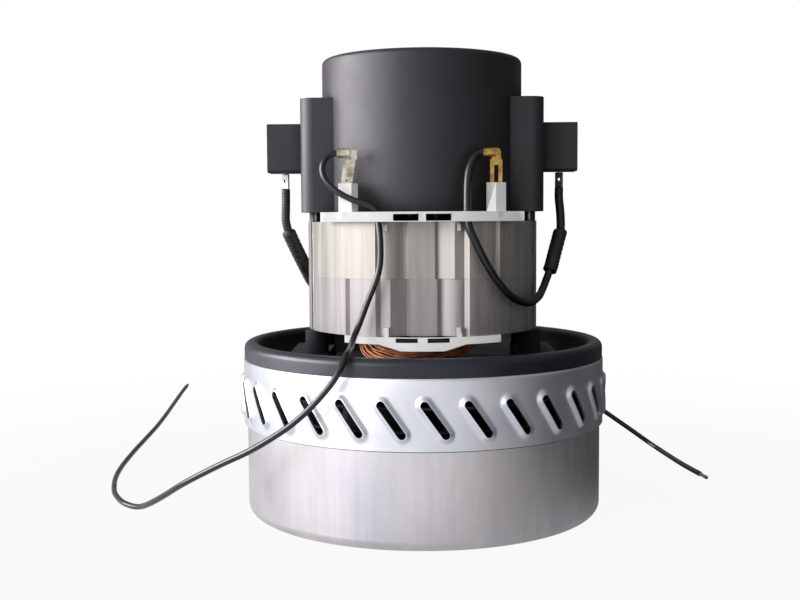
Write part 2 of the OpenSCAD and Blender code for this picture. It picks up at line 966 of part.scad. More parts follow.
module upper_insulator() {
    color("whitesmoke")
        difference() {
            union() {
                translate([0, 0, cap_z0 - guide_t])
                    linear_extrude(guide_t)
                        guide_sector(guide_r1, guide_r0, guide_half_a);
                translate([0, 0, stack_z1]) {
                    linear_extrude(insulator_h)
                        guide_sector(guide_r0 + guide_wall, guide_r0, guide_half_a);
                    linear_extrude(insulator_h)
                        guide_sector(guide_r1, guide_r1 - guide_wall, guide_half_a);
                    linear_extrude(tongue_t)
                        intersection() {
                            ring_2d(guide_r0 + guide_wall, bore_r + 1);
                            translate([-tongue_w / 2, -stator_r])
                                square([tongue_w, stator_r]);
                        }
                }
                guide_fingers(stack_z1 - finger_l, stack_z1 + insulator_h, guide_r1);
                tower(-tower_x, lead_tower_turn);
                tower(tower_x, brush_tower_turn);
            }
            for (s = [-1, 1]) {
                guide_window(s, window_x, stack_z1 + 0.3, cap_z0 - guide_t + 0.3);
                translate([s * wire_hole_x, wire_hole_y, stack_z1 - 1])
                    cylinder(r = wire_hole_r, h = insulator_h + 2);
            }
            tab_slot(-tower_x + lead_lean[0], lead_tab_w);
            tab_slot(tower_x, brush_tab_w);
        }
}

// locating fingers that reach down or up over the stack's edge
module guide_fingers(z0, z1, r_out) {
    for (s = [-1, 1])
        translate([0, 0, z0])
            linear_extrude(z1 - z0)
                intersection() {
                    ring_2d(min(shelf_r + slip + finger_t, r_out), shelf_r + slip);
                    translate([s * finger_x - finger_w / 2, -guide_r1])
                        square([finger_w, guide_r1]);
                }
}

module guide_window(s, x, z0, z1) {
    translate([s * (x[0] + x[1]) / 2 - (x[1] - x[0]) / 2, -guide_r1 - 1, z0])
        cube([x[1] - x[0], guide_r1 - guide_r0 - guide_wall, z1 - z0]);
}

module tower(x, turn) {
    translate([x, tower_y, cap_z0 - guide_t])
        rotate([0, 0, turn])
            translate([-tower_w / 2, -tower_d / 2, 0])
                cube([tower_w, tower_d, tower_h + guide_t]);
}

module tab_slot(x, w) {
    translate([x - w / 2 - slip, tower_y - tab_t / 2 - slip, cap_z0 + tower_h - tab_sunk])
        cube([w + 2 * slip, tab_t + 2 * slip, tab_sunk + 1]);
}

module lower_insulator() {
    z0 = stack_z0 - low_guide_h;
    color("whitesmoke")
        difference() {
            union() {
                translate([0, 0, z0]) {
                    linear_extrude(guide_t)
                        guide_sector(low_guide_r1, guide_r0, low_guide_half_a);
                    linear_extrude(low_guide_h)
                        guide_sector(guide_r0 + guide_wall, guide_r0, low_guide_half_a);
                    linear_extrude(low_guide_h)
                        guide_sector(low_guide_r1, low_guide_r1 - guide_wall, low_guide_half_a);
                }
                low_lip(z0);
                translate([0, 0, stack_z0 - tongue_t])
                    linear_extrude(tongue_t)
                        intersection() {
                            ring_2d(guide_r0 + guide_wall, bore_r + 1);
                            translate([-tongue_w / 2, -stator_r])
                                square([tongue_w, stator_r]);
                        }
                guide_fingers(z0, stack_z0 + finger_l, guide_r1);
            }
            for (s = [-1, 1])
                guide_window(s, low_window_x, z0 + guide_t - 0.3, stack_z0 - 0.3);
        }
}

// the lip that hangs below the lower guide and holds the coil's end in
module low_lip(z0) {
    intersection() {
        tube(low_guide_r1, low_guide_r1 - guide_wall, z0 - low_lip_h, z0 + eps);
        translate([0, -guide_r0, 0])
            rotate([90, 0, 0])
                linear_extrude(guide_r1 - guide_r0)
                    polygon([
                        [-2 * low_lip_x, z0 + 1],
                        [-2 * low_lip_x, z0],
                        [-low_lip_x, z0 - low_lip_h],
                        [low_lip_x, z0 - low_lip_h],
                        [2 * low_lip_x, z0],
                        [2 * low_lip_x, z0 + 1]
                    ]);
    }
}

module upper_insulator_front() {
    upper_insulator();
}

module upper_insulator_rear() {
    half_turn()
        upper_insulator();
}

module lower_insulator_front() {
    lower_insulator();
}

module lower_insulator_rear() {
    half_turn()
        lower_insulator();
}

// Terminals

// sheet metal that stands in a tower, drawn as seen from the front, with z = 0 at its top
module upright(x) {
    translate([x, tower_y + tab_t / 2, cap_z0 + tower_h])
        rotate([90, 0, 0])
            linear_extrude(tab_t)
                children();
}

module barrel(x) {
    translate([x, barrel_y, barrel_z])
        rotate([0, 90, 0])
            cylinder(r = barrel_r, h = barrel_l);
}

// a strip that leans as it rises, with two ears that close on the wire
module lead_tab_2d() {
    w = lead_tab_w / 2;
    ear = lead_ear_w / 2;
    foot = lead_lean[0];
    polygon([
        [foot - w, -tab_sunk],
        [foot + w, -tab_sunk],
        [foot + w, 0],
        [lead_lean[1] + w, lead_neck_h],
        [ear, lead_neck_h + 0.6],
        [ear, lead_tab_h],
        [-ear, lead_tab_h],
        [-ear, lead_neck_h + 0.6],
        [lead_lean[1] - w, lead_neck_h],
        [foot - w, 0]
    ]);
}

module lead_terminal() {
    color("silver") {
        upright(-tower_x)
            difference() {
                lead_tab_2d();
                for (h = lead_tab_holes)
                    translate([h[0], h[1]])
                        circle(d = h[2]);
            }
        barrel(lead_barrel_x);
    }
}

// two legs under a round head
module brush_tab_2d() {
    difference() {
        translate([-brush_tab_w / 2, -tab_sunk])
            square([brush_tab_w, tab_sunk + brush_tab_h]);
        translate([-brush_slot_w / 2, 0])
            square([brush_slot_w, brush_slot_h]);
    }
    translate([-brush_head_r, brush_tab_h - 1])
        square([2 * brush_head_r, brush_head_h - brush_tab_h + 1]);
    translate([0, brush_head_h])
        circle(r = brush_head_r);
}

module brush_terminal() {
    color("goldenrod") {
        upright(tower_x)
            brush_tab_2d();
        barrel(brush_barrel_x);
    }
}

module lead_terminal_front() {
    lead_terminal();
}

module lead_terminal_rear() {
    half_turn()
        lead_terminal();
}

module brush_terminal_front() {
    brush_terminal();
}

module brush_terminal_rear() {
    half_turn()
        brush_terminal();
}

// Commutator bracket

module cap_section() {
    translate([0, cap_z0])
        square([cap_r, cap_h - cap_round]);
    translate([0, cap_z0])
        square([cap_r - cap_round, cap_h]);
    translate([cap_r - cap_round, cap_z1 - cap_round])
        circle(r = cap_round);
}

// plan of one side pillar, with its outer corners rounded
module pillar_2d() {
    reach = pillar_x - pillar_corner_r;
    square_y = pillar_w / 2 - pillar_corner_r;
    translate([0, -pillar_w / 2])
        square([reach, pillar_w]);
    translate([0, -square_y])
        square([pillar_x, 2 * square_y]);
    for (s = [-1, 1])
        translate([reach, s * square_y])
            circle(r = pillar_corner_r);
}

module bearing_spider() {
    z0 = upper_bearing_z - hub_lip;
    difference() {
        union() {
            tube(upper_hub_r, upper_bearing[1] / 2 + press, z0, upper_bearing_z + upper_bearing[2]);
            tube(upper_hub_r, upper_bearing[1] / 2 - 2.5, z0, upper_bearing_z);
            for (a = [45 : 90 : 315])
                rotate([0, 0, a])
                    box_between([upper_hub_r - 1, -spoke_w / 2, z0],
                        [cap_r - cap_wall / 2, spoke_w / 2, z0 + spoke_h]);
        }
    }
}

module commutator_bracket() {
    seat_z = grille_z - ledge_h;
    color("#2b2b2e") {
        difference() {
            union() {
                rotate_extrude()
                    cap_section();
                translate([0, 0, cap_z0])
                    linear_extrude(pillar_h) {
                        pillar_2d();
                        half_turn()
                            pillar_2d();
                    }
                at_bolts()
                    translate([0, 0, stack_z1])
                        cylinder(r = foot_r, h = insulator_h + 1);
            }
            for (sx = [-1, 1], sy = [-1, 1])
                scale([sx, sy, 1])
                    box_between([bolt_x - foot_slit / 2, bolt_y, stack_z1 - 1],
                        [bolt_x + foot_slit / 2, bolt_y + 2 * foot_r, cap_z0]);
            translate([0, 0, cap_z0 - 1])
                cylinder(r = cap_r_in, h = seat_z - cap_z0 + 1);
            translate([0, 0, seat_z - 1])
                cylinder(r = cap_r_in - ledge_w, h = cap_h);
            translate([0, 0, grille_z])
                cylinder(r = cap_r_in, h = cap_h);
            for (s = [-1, 1])
                scale([s, 1, 1])
                    brush_prism(sheath_x0, pillar_x + 1, sheath_w + 2 * slip, sheath_h + 2 * slip);
            at_bolts() {
                translate([0, 0, stack_z1 - 1])
                    cylinder(r = bolt_hole_r, h = cap_h);
                translate([0, 0, head_seat_z])
                    cylinder(r = sink_r, h = cap_h);
            }
        }
        bearing_spider();
    }
}

module vent_grille() {
    r = cap_r_in - slip;
    color("#2b2b2e")
        difference() {
            translate([0, 0, grille_z])
                cylinder(r = r, h = grille_t);
            turned(grille_slots, 360 / grille_slots)
                box_between([grille_hub_r + 3, -grille_slot_w / 2, grille_z - 1],
                    [r - 3, grille_slot_w / 2, grille_z + grille_t + 1]);
        }
}

// Brush gear, drawn on the right and repeated on the left

module brush_box() {
    color("#2b2b2e")
        difference() {
            union() {
                brush_prism(sheath_x0, pillar_x + 1, sheath_w, sheath_h);
                intersection() {
                    brush_prism(pillar_x, box_x, box_w, box_h);
                    box_profile();
                }
            }
            brush_prism(sheath_x0 - 1, lug_x + lug_t / 2 + slip, socket_w, socket_h);
            box_between([lug_x - lug_t / 2 - slip, -lug_w / 2 - slip, brush_z - box_h],
                [lug_x + lug_t / 2 + slip, lug_w / 2 + slip, brush_z]);
        }
}

// the box's outline seen from its end, with rounded edges
module box_profile() {
    translate([pillar_x, 0, brush_z])
        rotate([90, 0, 90])
            linear_extrude(box_x - pillar_x) {
                square([box_w - 2 * box_round, box_h], center = true);
                square([box_w, box_h - 2 * box_round], center = true);
                for (sx = [-1, 1], sy = [-1, 1])
                    translate([sx * (box_w / 2 - box_round), sy * (box_h / 2 - box_round)])
                        circle(r = box_round);
            }
}

module brush_guide() {
    color("goldenrod")
        difference() {
            brush_prism(guide_x0, guide_x1, guide_out_w, guide_out_h);
            brush_prism(guide_x0 - 1, guide_x1 + 1, guide_in_w, guide_in_h);
        }
}

// the contact behind the spring, with its stem out through the box's underside
module brush_lug() {
    x0 = lug_x - lug_t / 2;
    neck_z = brush_z - box_h / 2 - lug_neck;
    color("goldenrod") {
        brush_prism(x0, x0 + lug_t, guide_out_w, guide_out_h);
        box_between([x0, -lug_w / 2, neck_z], [x0 + lug_t, lug_w / 2, brush_z]);
        lug_tail(neck_z + lug_neck / 2);
    }
}

// the end of the stem, turned to the front and holed for the wire
module lug_tail(z1) {
    translate([lug_x, 0, 0])
        rotate([0, 0, lug_turn])
            difference() {
                box_between([-lug_t / 2, -lug_w / 2, lug_z0], [lug_t / 2, lug_w / 2, z1]);
                translate([-lug_t, 0, lug_z0 + lug_hole_up])
                    rotate([0, 90, 0])
                        cylinder(r = lug_hole_r, h = 2 * lug_t);
            }
}

module brush() {
    color("#303030")
        difference() {
            brush_prism(commutator_r - 2, brush_x1, brush_w, brush_h);
            cylinder(r = brush_x0, h = cap_z1);
        }
}

spring_x0 = brush_x1 + spring_wire_d / 2 + 0.05;
spring_x1 = lug_x - lug_t / 2 - spring_wire_d / 2 - 0.05;
spring_rings = 8 * spring_curls;
spring_route = [
    for (i = [0 : spring_rings])
        let (a = 360 * i / 8)
        [spring_x0 + (spring_x1 - spring_x0) * i / spring_rings,
            spring_r * cos(a), brush_z + spring_r * sin(a)]
];

module brush_spring() {
    color("silver")
        swept_tube(spring_route, [for (p = spring_route) spring_wire_d / 2], 6);
}

echo(spring_least_gap = least_gap(spring_route, 4, spring_wire_d));

module brush_box_right() {
    brush_box();
}

module brush_box_left() {
    half_turn()
        brush_box();
}

module brush_guide_right() {
    brush_guide();
}

module brush_guide_left() {
    half_turn()
        brush_guide();
}

module brush_lug_right() {
    brush_lug();
}

module brush_lug_left() {
    half_turn()
        brush_lug();
}

module brush_right() {
    brush();
}

module brush_left() {
    half_turn()
        brush();
}

module brush_spring_right() {
    brush_spring();
}

module brush_spring_left() {
    half_turn()
        brush_spring();
}

// Long bolts that hold bracket, stator and commutator bracket together

module stator_bolts() {
    slot_cut = 0.8;
    color("silver")
        at_bolts()
            difference() {
                union() {
                    translate([0, 0, bolt_tip_z])
                        cylinder(d = bolt_d, h = head_seat_z - bolt_tip_z + 1);
                    translate([0, 0, head_seat_z])
                        cylinder(r = head_r, h = head_h);
                }
                translate([0, 0, head_seat_z + head_h])
                    cube([3 * head_r, slot_cut, 2 * slot_cut], center = true);
            }
}

// Rotor

module shaft() {
    color("silver") {
        translate([0, 0, shaft_z0])
            cylinder(r = shaft_end_r, h = shaft_z1 - shaft_z0);
        translate([0, 0, lower_bearing_z])
            cylinder(r = shaft_r, h = upper_bearing_z - lower_bearing_z);
    }
}

module core_slots(play) {
    turned(rotor_slots, 360 / rotor_slots)
        translate([slot_r0 + play, -core_slot_w / 2 + play])
            square([slot_r1 - slot_r0 - 2 * play, core_slot_w - 2 * play]);
}

module armature_core() {
    color("darkgray")
        translate([0, 0, stack_z0])
            linear_extrude(stack_h)
                difference() {
                    ring_2d(core_r, shaft_r + press);
                    core_slots(0);
                    turned(rotor_slots, 360 / rotor_slots)
                        translate([slot_r1 - 1, -core_slot_mouth / 2])
                            square([core_r, core_slot_mouth]);
                }
}

// end winding as a ring with rounded shoulders, h high, growing up from z = 0
module end_winding(h) {
    rotate_extrude() {
        translate([winding_r_in, 0])
            square([winding_r - winding_r_in, h - winding_round]);
        translate([winding_r_in + winding_round, 0])
            square([winding_r - winding_r_in - 2 * winding_round, h]);
        for (r = [winding_r_in + winding_round, winding_r - winding_round])
            translate([r, h - winding_round])
                circle(r = winding_round);
    }
}

module armature_winding() {
    color("peru") {
        translate([0, 0, stack_z1 + slip])
            end_winding(winding_high);
        translate([0, 0, stack_z0 - slip])
            mirror([0, 0, 1])
                end_winding(winding_low);
        translate([0, 0, stack_z0 - 1])
            linear_extrude(stack_h + 2)
                core_slots(slip);
    }
}

module commutator() {
    z0 = brush_z - commutator_h / 2;
    slit = 0.6;
    color("peru")
        difference() {
            union() {
                tube(commutator_r, shaft_r + press, z0, z0 + commutator_h);
                tube(riser_r, shaft_r + press, z0 - riser_h, z0);
            }
            turned(commutator_bars, 360 / commutator_bars)
                box_between([commutator_r - 1, -slit / 2, z0 - riser_h - 1],
                    [riser_r + 1, slit / 2, z0 + commutator_h + 1]);
        }
}

module cooling_fan() {
    color("#2b2b2e") {
        tube(cooler_hub_r, shaft_end_r + press, cooler_z, cooler_z + cooler_h);
        tube(cooler_r, cooler_hub_r - 1, cooler_z, cooler_z + fan_t);
        turned(cooler_blades, 360 / cooler_blades)
            box_between([cooler_hub_r - 1, -fan_t / 2, cooler_z],
                [cooler_r - 1, fan_t / 2, cooler_z + cooler_h]);
    }
}

module cooling_fan_clip() {
    color("silver")
        tube(clip_r, shaft_end_r + press, cooler_z + cooler_h, cooler_z + cooler_h + clip_h);
}

module fan_spacer() {
    color("silver")
        tube(spacer_r, shaft_end_r + press, first_fan_z + first_fan_h, second_fan_z1 - fan_t);
}

module bearing_spacer() {
    color("silver")
        tube(spacer_r, shaft_end_r + press, second_fan_z1, lower_bearing_z);
}

module fan_washer() {
    color("silver")
        tube(spacer_r + 2, shaft_end_r + press, washer_z, washer_z + washer_t);
}

module fan_nut() {
    color("silver")
        translate([0, 0, nut_z])
            linear_extrude(nut_h)
                difference() {
                    circle(d = nut_af / cos(30), $fn = 6);
                    circle(r = shaft_end_r + press);
                }
}

// Wiring

module jumper(route) {
    color("#202022")
        cord(route, jumper_d);
}

module jumper_right() {
    jumper(concat(jumper_head, jumper_tail_right));
}

module jumper_left() {
    jumper(half_round(concat(jumper_head, jumper_tail_left)));
}

module sleeve(route) {
    color("#202022")
        swept_tube(route, [
            for (i = [0 : len(route) - 1])
                i < len(route) - sleeve_thin_rings ? sleeve_thick_r : sleeve_thin_r
        ], 8);
}

module jumper_sleeve_right() {
    sleeve(sleeve_right);
}

module jumper_sleeve_left() {
    sleeve(half_round(sleeve_left));
}

lead_front_route = concat(lead_head, front_tail);
lead_rear_route = concat(half_round(lead_head), rear_tail);

function route_length(p, i = 1) =
    i == len(p) ? 0 : norm(p[i] - p[i - 1]) + route_length(p, i + 1);
echo(front_lead = route_length(lead_front_route), rear_lead = route_length(lead_rear_route));

// the stripped end runs on straight from the lead's last stretch
module stripped_end(route) {
    end = route[len(route) - 1];
    way = heading(route, len(route) - 1);
    color("silver")
        cord([end, end + strand_l / 2 * way, end + strand_l * way], strand_d);
}

module lead_front() {
    color("#202022")
        cord(lead_front_route, lead_d);
}

module lead_rear() {
    color("#202022")
        cord(lead_rear_route, lead_d);
}

module lead_tip_front() {
    stripped_end(lead_front_route);
}

module lead_tip_rear() {
    stripped_end(lead_rear_route);
}

fan_shell();
vent_band();
diffuser();
fan_end_bracket();
lower_bearing_outer();
lower_bearing_balls();
lower_bearing_inner();
stator_stack_lower();
stator_stack_upper();
field_coil_front();
field_coil_rear();
upper_insulator_front();
upper_insulator_rear();
lower_insulator_front();
lower_insulator_rear();
lead_terminal_front();
lead_terminal_rear();
brush_terminal_front();
brush_terminal_rear();
commutator_bracket();
vent_grille();
upper_bearing_outer();
upper_bearing_balls();
upper_bearing_inner();
brush_box_left();
brush_box_right();
brush_guide_left();
brush_guide_right();
brush_lug_left();
brush_lug_right();
brush_spring_left();
brush_spring_right();
brush_left();
brush_right();
jumper_left();
jumper_right();
jumper_sleeve_left();
jumper_sleeve_right();
stator_bolts();
shaft();
armature_core();
armature_winding();
commutator();
cooling_fan();
cooling_fan_clip();
first_stage_fan();
second_stage_fan();
fan_spacer();
bearing_spacer();
fan_washer();
fan_nut();
lead_front();
lead_rear();
lead_tip_front();
lead_tip_rear();
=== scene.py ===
"""Looks of a two-stage vacuum motor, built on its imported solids.

The solids keep their shapes and get finishes with real detail. The slotted band, the windings,
the springs, the wires and their ends are modelled here in finer form, each in its solid's place.
The scene is in metres. Sizes of the pieces are written in millimetres and taken times MM, unless
a comment says metres. Z runs up the shaft and the front looks along -Y.
"""

import math
import random

import bpy
from mathutils import Matrix, Vector
from mathutils.geometry import delaunay_2d_cdt


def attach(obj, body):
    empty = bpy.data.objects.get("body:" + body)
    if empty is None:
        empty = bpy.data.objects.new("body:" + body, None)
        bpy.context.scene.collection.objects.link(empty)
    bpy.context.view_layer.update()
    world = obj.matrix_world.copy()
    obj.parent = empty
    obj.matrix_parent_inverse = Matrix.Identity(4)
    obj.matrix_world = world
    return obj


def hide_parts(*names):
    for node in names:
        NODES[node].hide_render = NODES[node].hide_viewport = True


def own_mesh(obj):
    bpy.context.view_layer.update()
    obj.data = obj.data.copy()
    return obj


MM = 0.001
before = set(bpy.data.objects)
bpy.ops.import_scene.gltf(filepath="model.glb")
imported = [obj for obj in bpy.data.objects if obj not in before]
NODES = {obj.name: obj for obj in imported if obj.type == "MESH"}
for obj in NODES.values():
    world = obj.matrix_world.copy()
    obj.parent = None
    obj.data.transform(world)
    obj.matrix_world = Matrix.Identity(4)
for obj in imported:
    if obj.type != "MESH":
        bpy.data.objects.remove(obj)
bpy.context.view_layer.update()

# Sizes shared with the solids, in millimetres
BAND_R = 71.5
BAND_T = 1.0
BAND_Z = (35.8, 61.2)
SLOT_COUNT = 30
SLOT_L = 15.5
SLOT_TILT = math.radians(55)
SLOT_PHASE = math.radians(3.3)
SLOT_RISE = 11.0
STATOR_R = 45.4
STACK_Z = (72.4, 114.4)
LUG_X = 54.1
BRUSH_BACK_X = 36.2
BRUSH_Z = 143.3
SPRING_R = 2.6
SPRING_WIRE_R = 0.35
SPRING_CURLS = 6
LEAD_D = 2.3
JUMPER_D = 3.0
STRAND_L = 8.0


def by_stack(turn, out, z):
    """A place beside the stack, at an angle in degrees from the front and so far out."""
    r, a = STATOR_R + out, math.radians(turn)
    return (r * math.sin(a), -r * math.cos(a), z)


def onward(route, share):
    """A place straight on from a route's end, by a share of its last stretch."""
    return tuple(b + share * (b - a) for a, b in zip(route[-2], route[-1]))


# Wire routes in millimetres; those of the left brush alone are written as if on the right
LEAD_HEAD = [
    (-30.99, -38.18, 139.5), (-32.99, -38.18, 139.5), (-35.4, -39.2, 137.6),
    (-36.6, -39.8, 134), (-35.8, -40.6, 130.4), (-33, -41.6, 127), (-28.6, -42.6, 124),
    (-23.8, -43.4, 121.8), (-19.4, -44, 120.6), by_stack(-20.6, 1.8, 119.4),
    by_stack(-19.8, 1.8, 117), by_stack(-19.8, 1.8, 114.6), by_stack(-18.7, 2.4, 111),
    by_stack(-18.2, 2.9, 107.4), by_stack(-18.1, 3, 102.6), by_stack(-18.6, 3.1, 97.2),
    by_stack(-20.9, 3.5, 91.4), by_stack(-24.1, 4.1, 84.8), by_stack(-26.8, 5.2, 77.8),
    by_stack(-27.7, 8, 73), (-25.5, -54, 70.2), (-25.8, -60, 69.4), (-26, -64, 69.4),
    (-26.6, -67.2, 68.1), (-27.8, -69.2, 65), (-30.2, -70.4, 60.8),
]
FRONT_TAIL = [
    (-33.5, -70.2, 56.6), (-38.5, -69, 51), (-45.5, -67, 44.6), (-54.4, -64, 38.4),
    (-62.8, -60, 33.2), (-73.4, -54, 27.5), (-88, -44.4, 18.8), (-98.4, -33, 11.2),
    (-106.4, -23, 5.6), (-111.8, -15.4, 2.4), (-116, -10.6, 1.2), (-121.4, -5, 1.2),
    (-126.4, 4, 1.2), (-131, 15.6, 1.2), (-136.6, 38, 1.2), (-140.2, 62, 1.2),
    (-143, 93, 1.2), (-145.2, 126, 1.2), (-147.6, 162, 1.2), (-151, 199, 1.2),
    (-155.6, 243, 1.2), (-160, 285, 1.2), (-162.4, 311, 1.2),
]
REAR_TAIL = [
    (33.6, 75.4, 56.6), (41, 84, 52), (51, 93, 45.6), (63, 101, 37.2), (76, 106.6, 28.6),
    (87, 108.4, 21.2), (97, 108, 14.2), (106, 105.6, 8), (112.4, 101.4, 3.6),
    (116, 94, 1.7), (118, 82, 1.2), (119.6, 68, 1.2), (121.4, 56, 1.2), (123.2, 45.6, 1.2),
]
JUMPER_HEAD = [
    (22.39, -38.18, 139.5), (20.39, -38.18, 139.5), (18.4, -40, 137), (17, -41, 133),
    (16.4, -42, 128), (16.3, -43.2, 123), by_stack(20.1, 1.8, 118.6), by_stack(20.1, 1.8, 115),
    by_stack(20.6, 2.4, 112), by_stack(21.9, 3.2, 109), by_stack(25.4, 3.4, 103.2),
    by_stack(29.7, 3.4, 97.2), by_stack(35.2, 3.3, 91.5), by_stack(41.8, 3.2, 86.8),
    by_stack(49.6, 3.2, 84.2),
]
JUMPER_TAIL_RIGHT = [
    by_stack(57.3, 3.3, 83.6), by_stack(65.5, 3.4, 85.2), by_stack(72, 3.4, 87.6),
    by_stack(77.8, 3.9, 90.6), by_stack(80.7, 5.2, 94.6),
]
JUMPER_TAIL_LEFT = [by_stack(54.8, 3.5, 84.4), by_stack(60.1, 4, 86.4)]
SLEEVE_RIGHT = [
    onward(JUMPER_TAIL_RIGHT, 0), onward(JUMPER_TAIL_RIGHT, 0.5), by_stack(83.7, 6.6, 99.6),
    by_stack(85.9, 7.7, 103.6), (54.4, -1.9, 108.2), (55, -1.2, 110.4), (55.2, -0.6, 114),
    (54.9, -0.1, 119.4), (54.5, 0, 123.1), (54.5, 0, 127.5),
]
SLEEVE_LEFT = [
    onward(JUMPER_TAIL_LEFT, 0), onward(JUMPER_TAIL_LEFT, 0.5), by_stack(68.7, 4.2, 90.2),
    by_stack(74.1, 4.3, 94.4), by_stack(80.4, 4.6, 98.8), by_stack(84.6, 6, 103.6),
    by_stack(87.4, 7.7, 108.4), (54, -1.2, 111.2), (54.7, -0.4, 115), (54.6, -0.1, 119.4),
    (54.5, 0, 123.1), (54.5, 0, 127.5),
]


def half_round(route):
    """The same route turned half round the shaft."""
    return [(-x, -y, z) for x, y, z in route]


def metres(route):
    """A route in millimetres as points in metres."""
    return [Vector(p) * MM for p in route]


# Finishes

# Scale of the wave texture that lays one line per metre
WAVE_SCALE = 0.314


class Finish:
    """A node material on one Principled shader, built up by short calls."""

    def __init__(self, name, **sockets):
        self.material = bpy.data.materials.new(name)
        self.material.use_nodes = True
        self.tree = self.material.node_tree
        self.shader = self.tree.nodes["Principled BSDF"]
        for socket, value in sockets.items():
            self.shader.inputs[socket.replace("_", " ")].default_value = value

    def node(self, kind, links=None, values=None, **settings):
        """A new node with its settings, socket values and incoming links."""
        made = self.tree.nodes.new(kind)
        for name, value in settings.items():
            setattr(made, name, value)
        for socket, value in (values or {}).items():
            made.inputs[socket].default_value = value
        for socket, source in (links or {}).items():
            self.tree.links.new(source, made.inputs[socket])
        return made

    def place(self, stretch=(1, 1, 1)):
        """Object coordinates in metres, stretched."""
        coords = self.node("ShaderNodeTexCoord").outputs["Object"]
        return self.node("ShaderNodeMapping", {"Vector": coords}, {"Scale": stretch}).outputs[0]

    def noise(self, scale, detail, rise=1, roughness=0.55):
        """Cloudy values from 0 to 1, drawn out along the shaft where rise is below 1."""
        return self.node(
            "ShaderNodeTexNoise",
            {"Vector": self.place((1, 1, rise))},
            {"Scale": scale, "Detail": detail, "Roughness": roughness},
        ).outputs["Fac"]

    def cells(self, scale):
        """Patches that each have a colour of their own."""
        return self.node(
            "ShaderNodeTexVoronoi", {"Vector": self.place()}, {"Scale": scale}
        ).outputs["Color"]

    def lines(self, pitch, distortion=0.0):
        """Lines round the shaft's axis, pitch metres apart."""
        return self.node(
            "ShaderNodeTexWave",
            {"Vector": self.place()},
            {"Scale": WAVE_SCALE / pitch, "Distortion": distortion, "Detail": 2.0},
            bands_direction="Z",
        ).outputs["Fac"]

    def edges(self):
        """How far a place stands out: one half on flat faces, more on outer edges."""
        return self.node("ShaderNodeNewGeometry").outputs["Pointiness"]

    def inside(self, *spans):
        """1 where each distance, taken along the given axes, is within its limits."""
        share = None
        for axes, low, high in spans:
            far = self.node("ShaderNodeVectorMath", {0: self.place(axes)}, operation="LENGTH")
            near = self.node(
                "ShaderNodeMath", {0: far.outputs["Value"]},
                {1: (low + high) / 2 * MM, 2: (high - low) / 2 * MM}, operation="COMPARE",
            ).outputs[0]
            if share is not None:
                near = self.node(
                    "ShaderNodeMath", {0: share, 1: near}, operation="MULTIPLY"
                ).outputs[0]
            share = near
        return share

    def open_sky(self, reach):
        """How open a place is, from 0 in a deep corner to 1 on a free face."""
        return self.node(
            "ShaderNodeAmbientOcclusion", values={"Distance": reach}, samples=8
        ).outputs["AO"]

    def spread(self, source, low, high, within=(0.3, 0.7)):
        """A value from low to high as source runs through the given range."""
        return self.node(
            "ShaderNodeMapRange",
            {"Value": source},
            {"From Min": within[0], "From Max": within[1], "To Min": low, "To Max": high},
        ).outputs[0]

    def blend(self, share, first, second, mode="MIX"):
        """Two colours mixed; each is a colour or a node's output."""
        mix = self.node("ShaderNodeMix", data_type="RGBA", blend_type=mode)
        for socket, value in ((0, share), (6, first), (7, second)):
            if isinstance(value, bpy.types.NodeSocket):
                self.tree.links.new(value, mix.inputs[socket])
            else:
                mix.inputs[socket].default_value = value
        return mix.outputs[2]

    def colour(self, source):
        """Take the colour from a node's output."""
        self.tree.links.new(source, self.shader.inputs["Base Color"])

    def roughness(self, source):
        """Take the roughness from a node's output."""
        self.tree.links.new(source, self.shader.inputs["Roughness"])

    def bump(self, *layers):
        """Relief from pairs of a height output and a depth in metres, one over another."""
        normal = None
        for height, depth in layers:
            links = {"Height": height}
            if normal is not None:
                links["Normal"] = normal
            normal = self.node("ShaderNodeBump", links, {"Distance": depth}).outputs[0]
        self.tree.links.new(normal, self.shader.inputs["Normal"])


def rgb(red, green, blue):
    """An sRGB colour of 0 to 255 as a linear one."""
    def linear(c):
        c /= 255
        return c / 12.92 if c <= 0.04045 else ((c + 0.055) / 1.055) ** 2.4
    return (linear(red), linear(green), linear(blue), 1.0)


def dimmed(colour, share):
    """A colour at a share of its brightness."""
    return tuple(share * c for c in colour[:3]) + (1.0,)


# Spans are measured out from the shaft, sideways or up, in millimetres
OUT, SIDEWAYS, UP = (1, 1, 0), (1, 0, 0), (0, 0, 1)
# Heights on the shell that take a painted shadow line under the band's edge
BAND_SHADOW_Z = (35.3, 35.9)
# How far the painted shade in corners of metal, nylon and dark plastic looks for other faces, in
# metres
CORNER_SHADE_REACH = 0.002
NYLON_SHADE_REACH = 0.004
HOLLOW_SHADE_REACH = 0.03


def drawn_metal():
    """Deep-drawn sheet: cloudy and slightly tinted, with faint draw streaks up the wall and a
    painted shadow line under the band's edge."""
    f = Finish("drawn_metal", Metallic=1.0, Anisotropic=0.2)
    fine = f.noise(700, detail=4, rise=0.03)
    broad = f.noise(130, detail=5, rise=0.22, roughness=0.65)
    cloud = f.noise(34, detail=4, rise=0.6)
    tint = f.noise(16, detail=2)
    base = f.blend(f.spread(cloud, 0, 1), rgb(212, 210, 221), rgb(245, 242, 248))
    base = f.blend(f.spread(broad, 0, 0.5), base, rgb(196, 193, 205))
    base = f.blend(f.spread(fine, 0, 0.16), base, rgb(150, 148, 154))
    base = f.blend(f.spread(tint, 0, 0.35), base, rgb(236, 226, 218))
    # A darker line under the band's edge, painted as its shadow
    f.colour(f.blend(f.inside((UP, *BAND_SHADOW_Z)), base, rgb(92, 90, 97)))
    f.roughness(f.spread(broad, 0.34, 0.5))
    f.bump((broad, 0.00004), (fine, 0.00002))
    return f.material


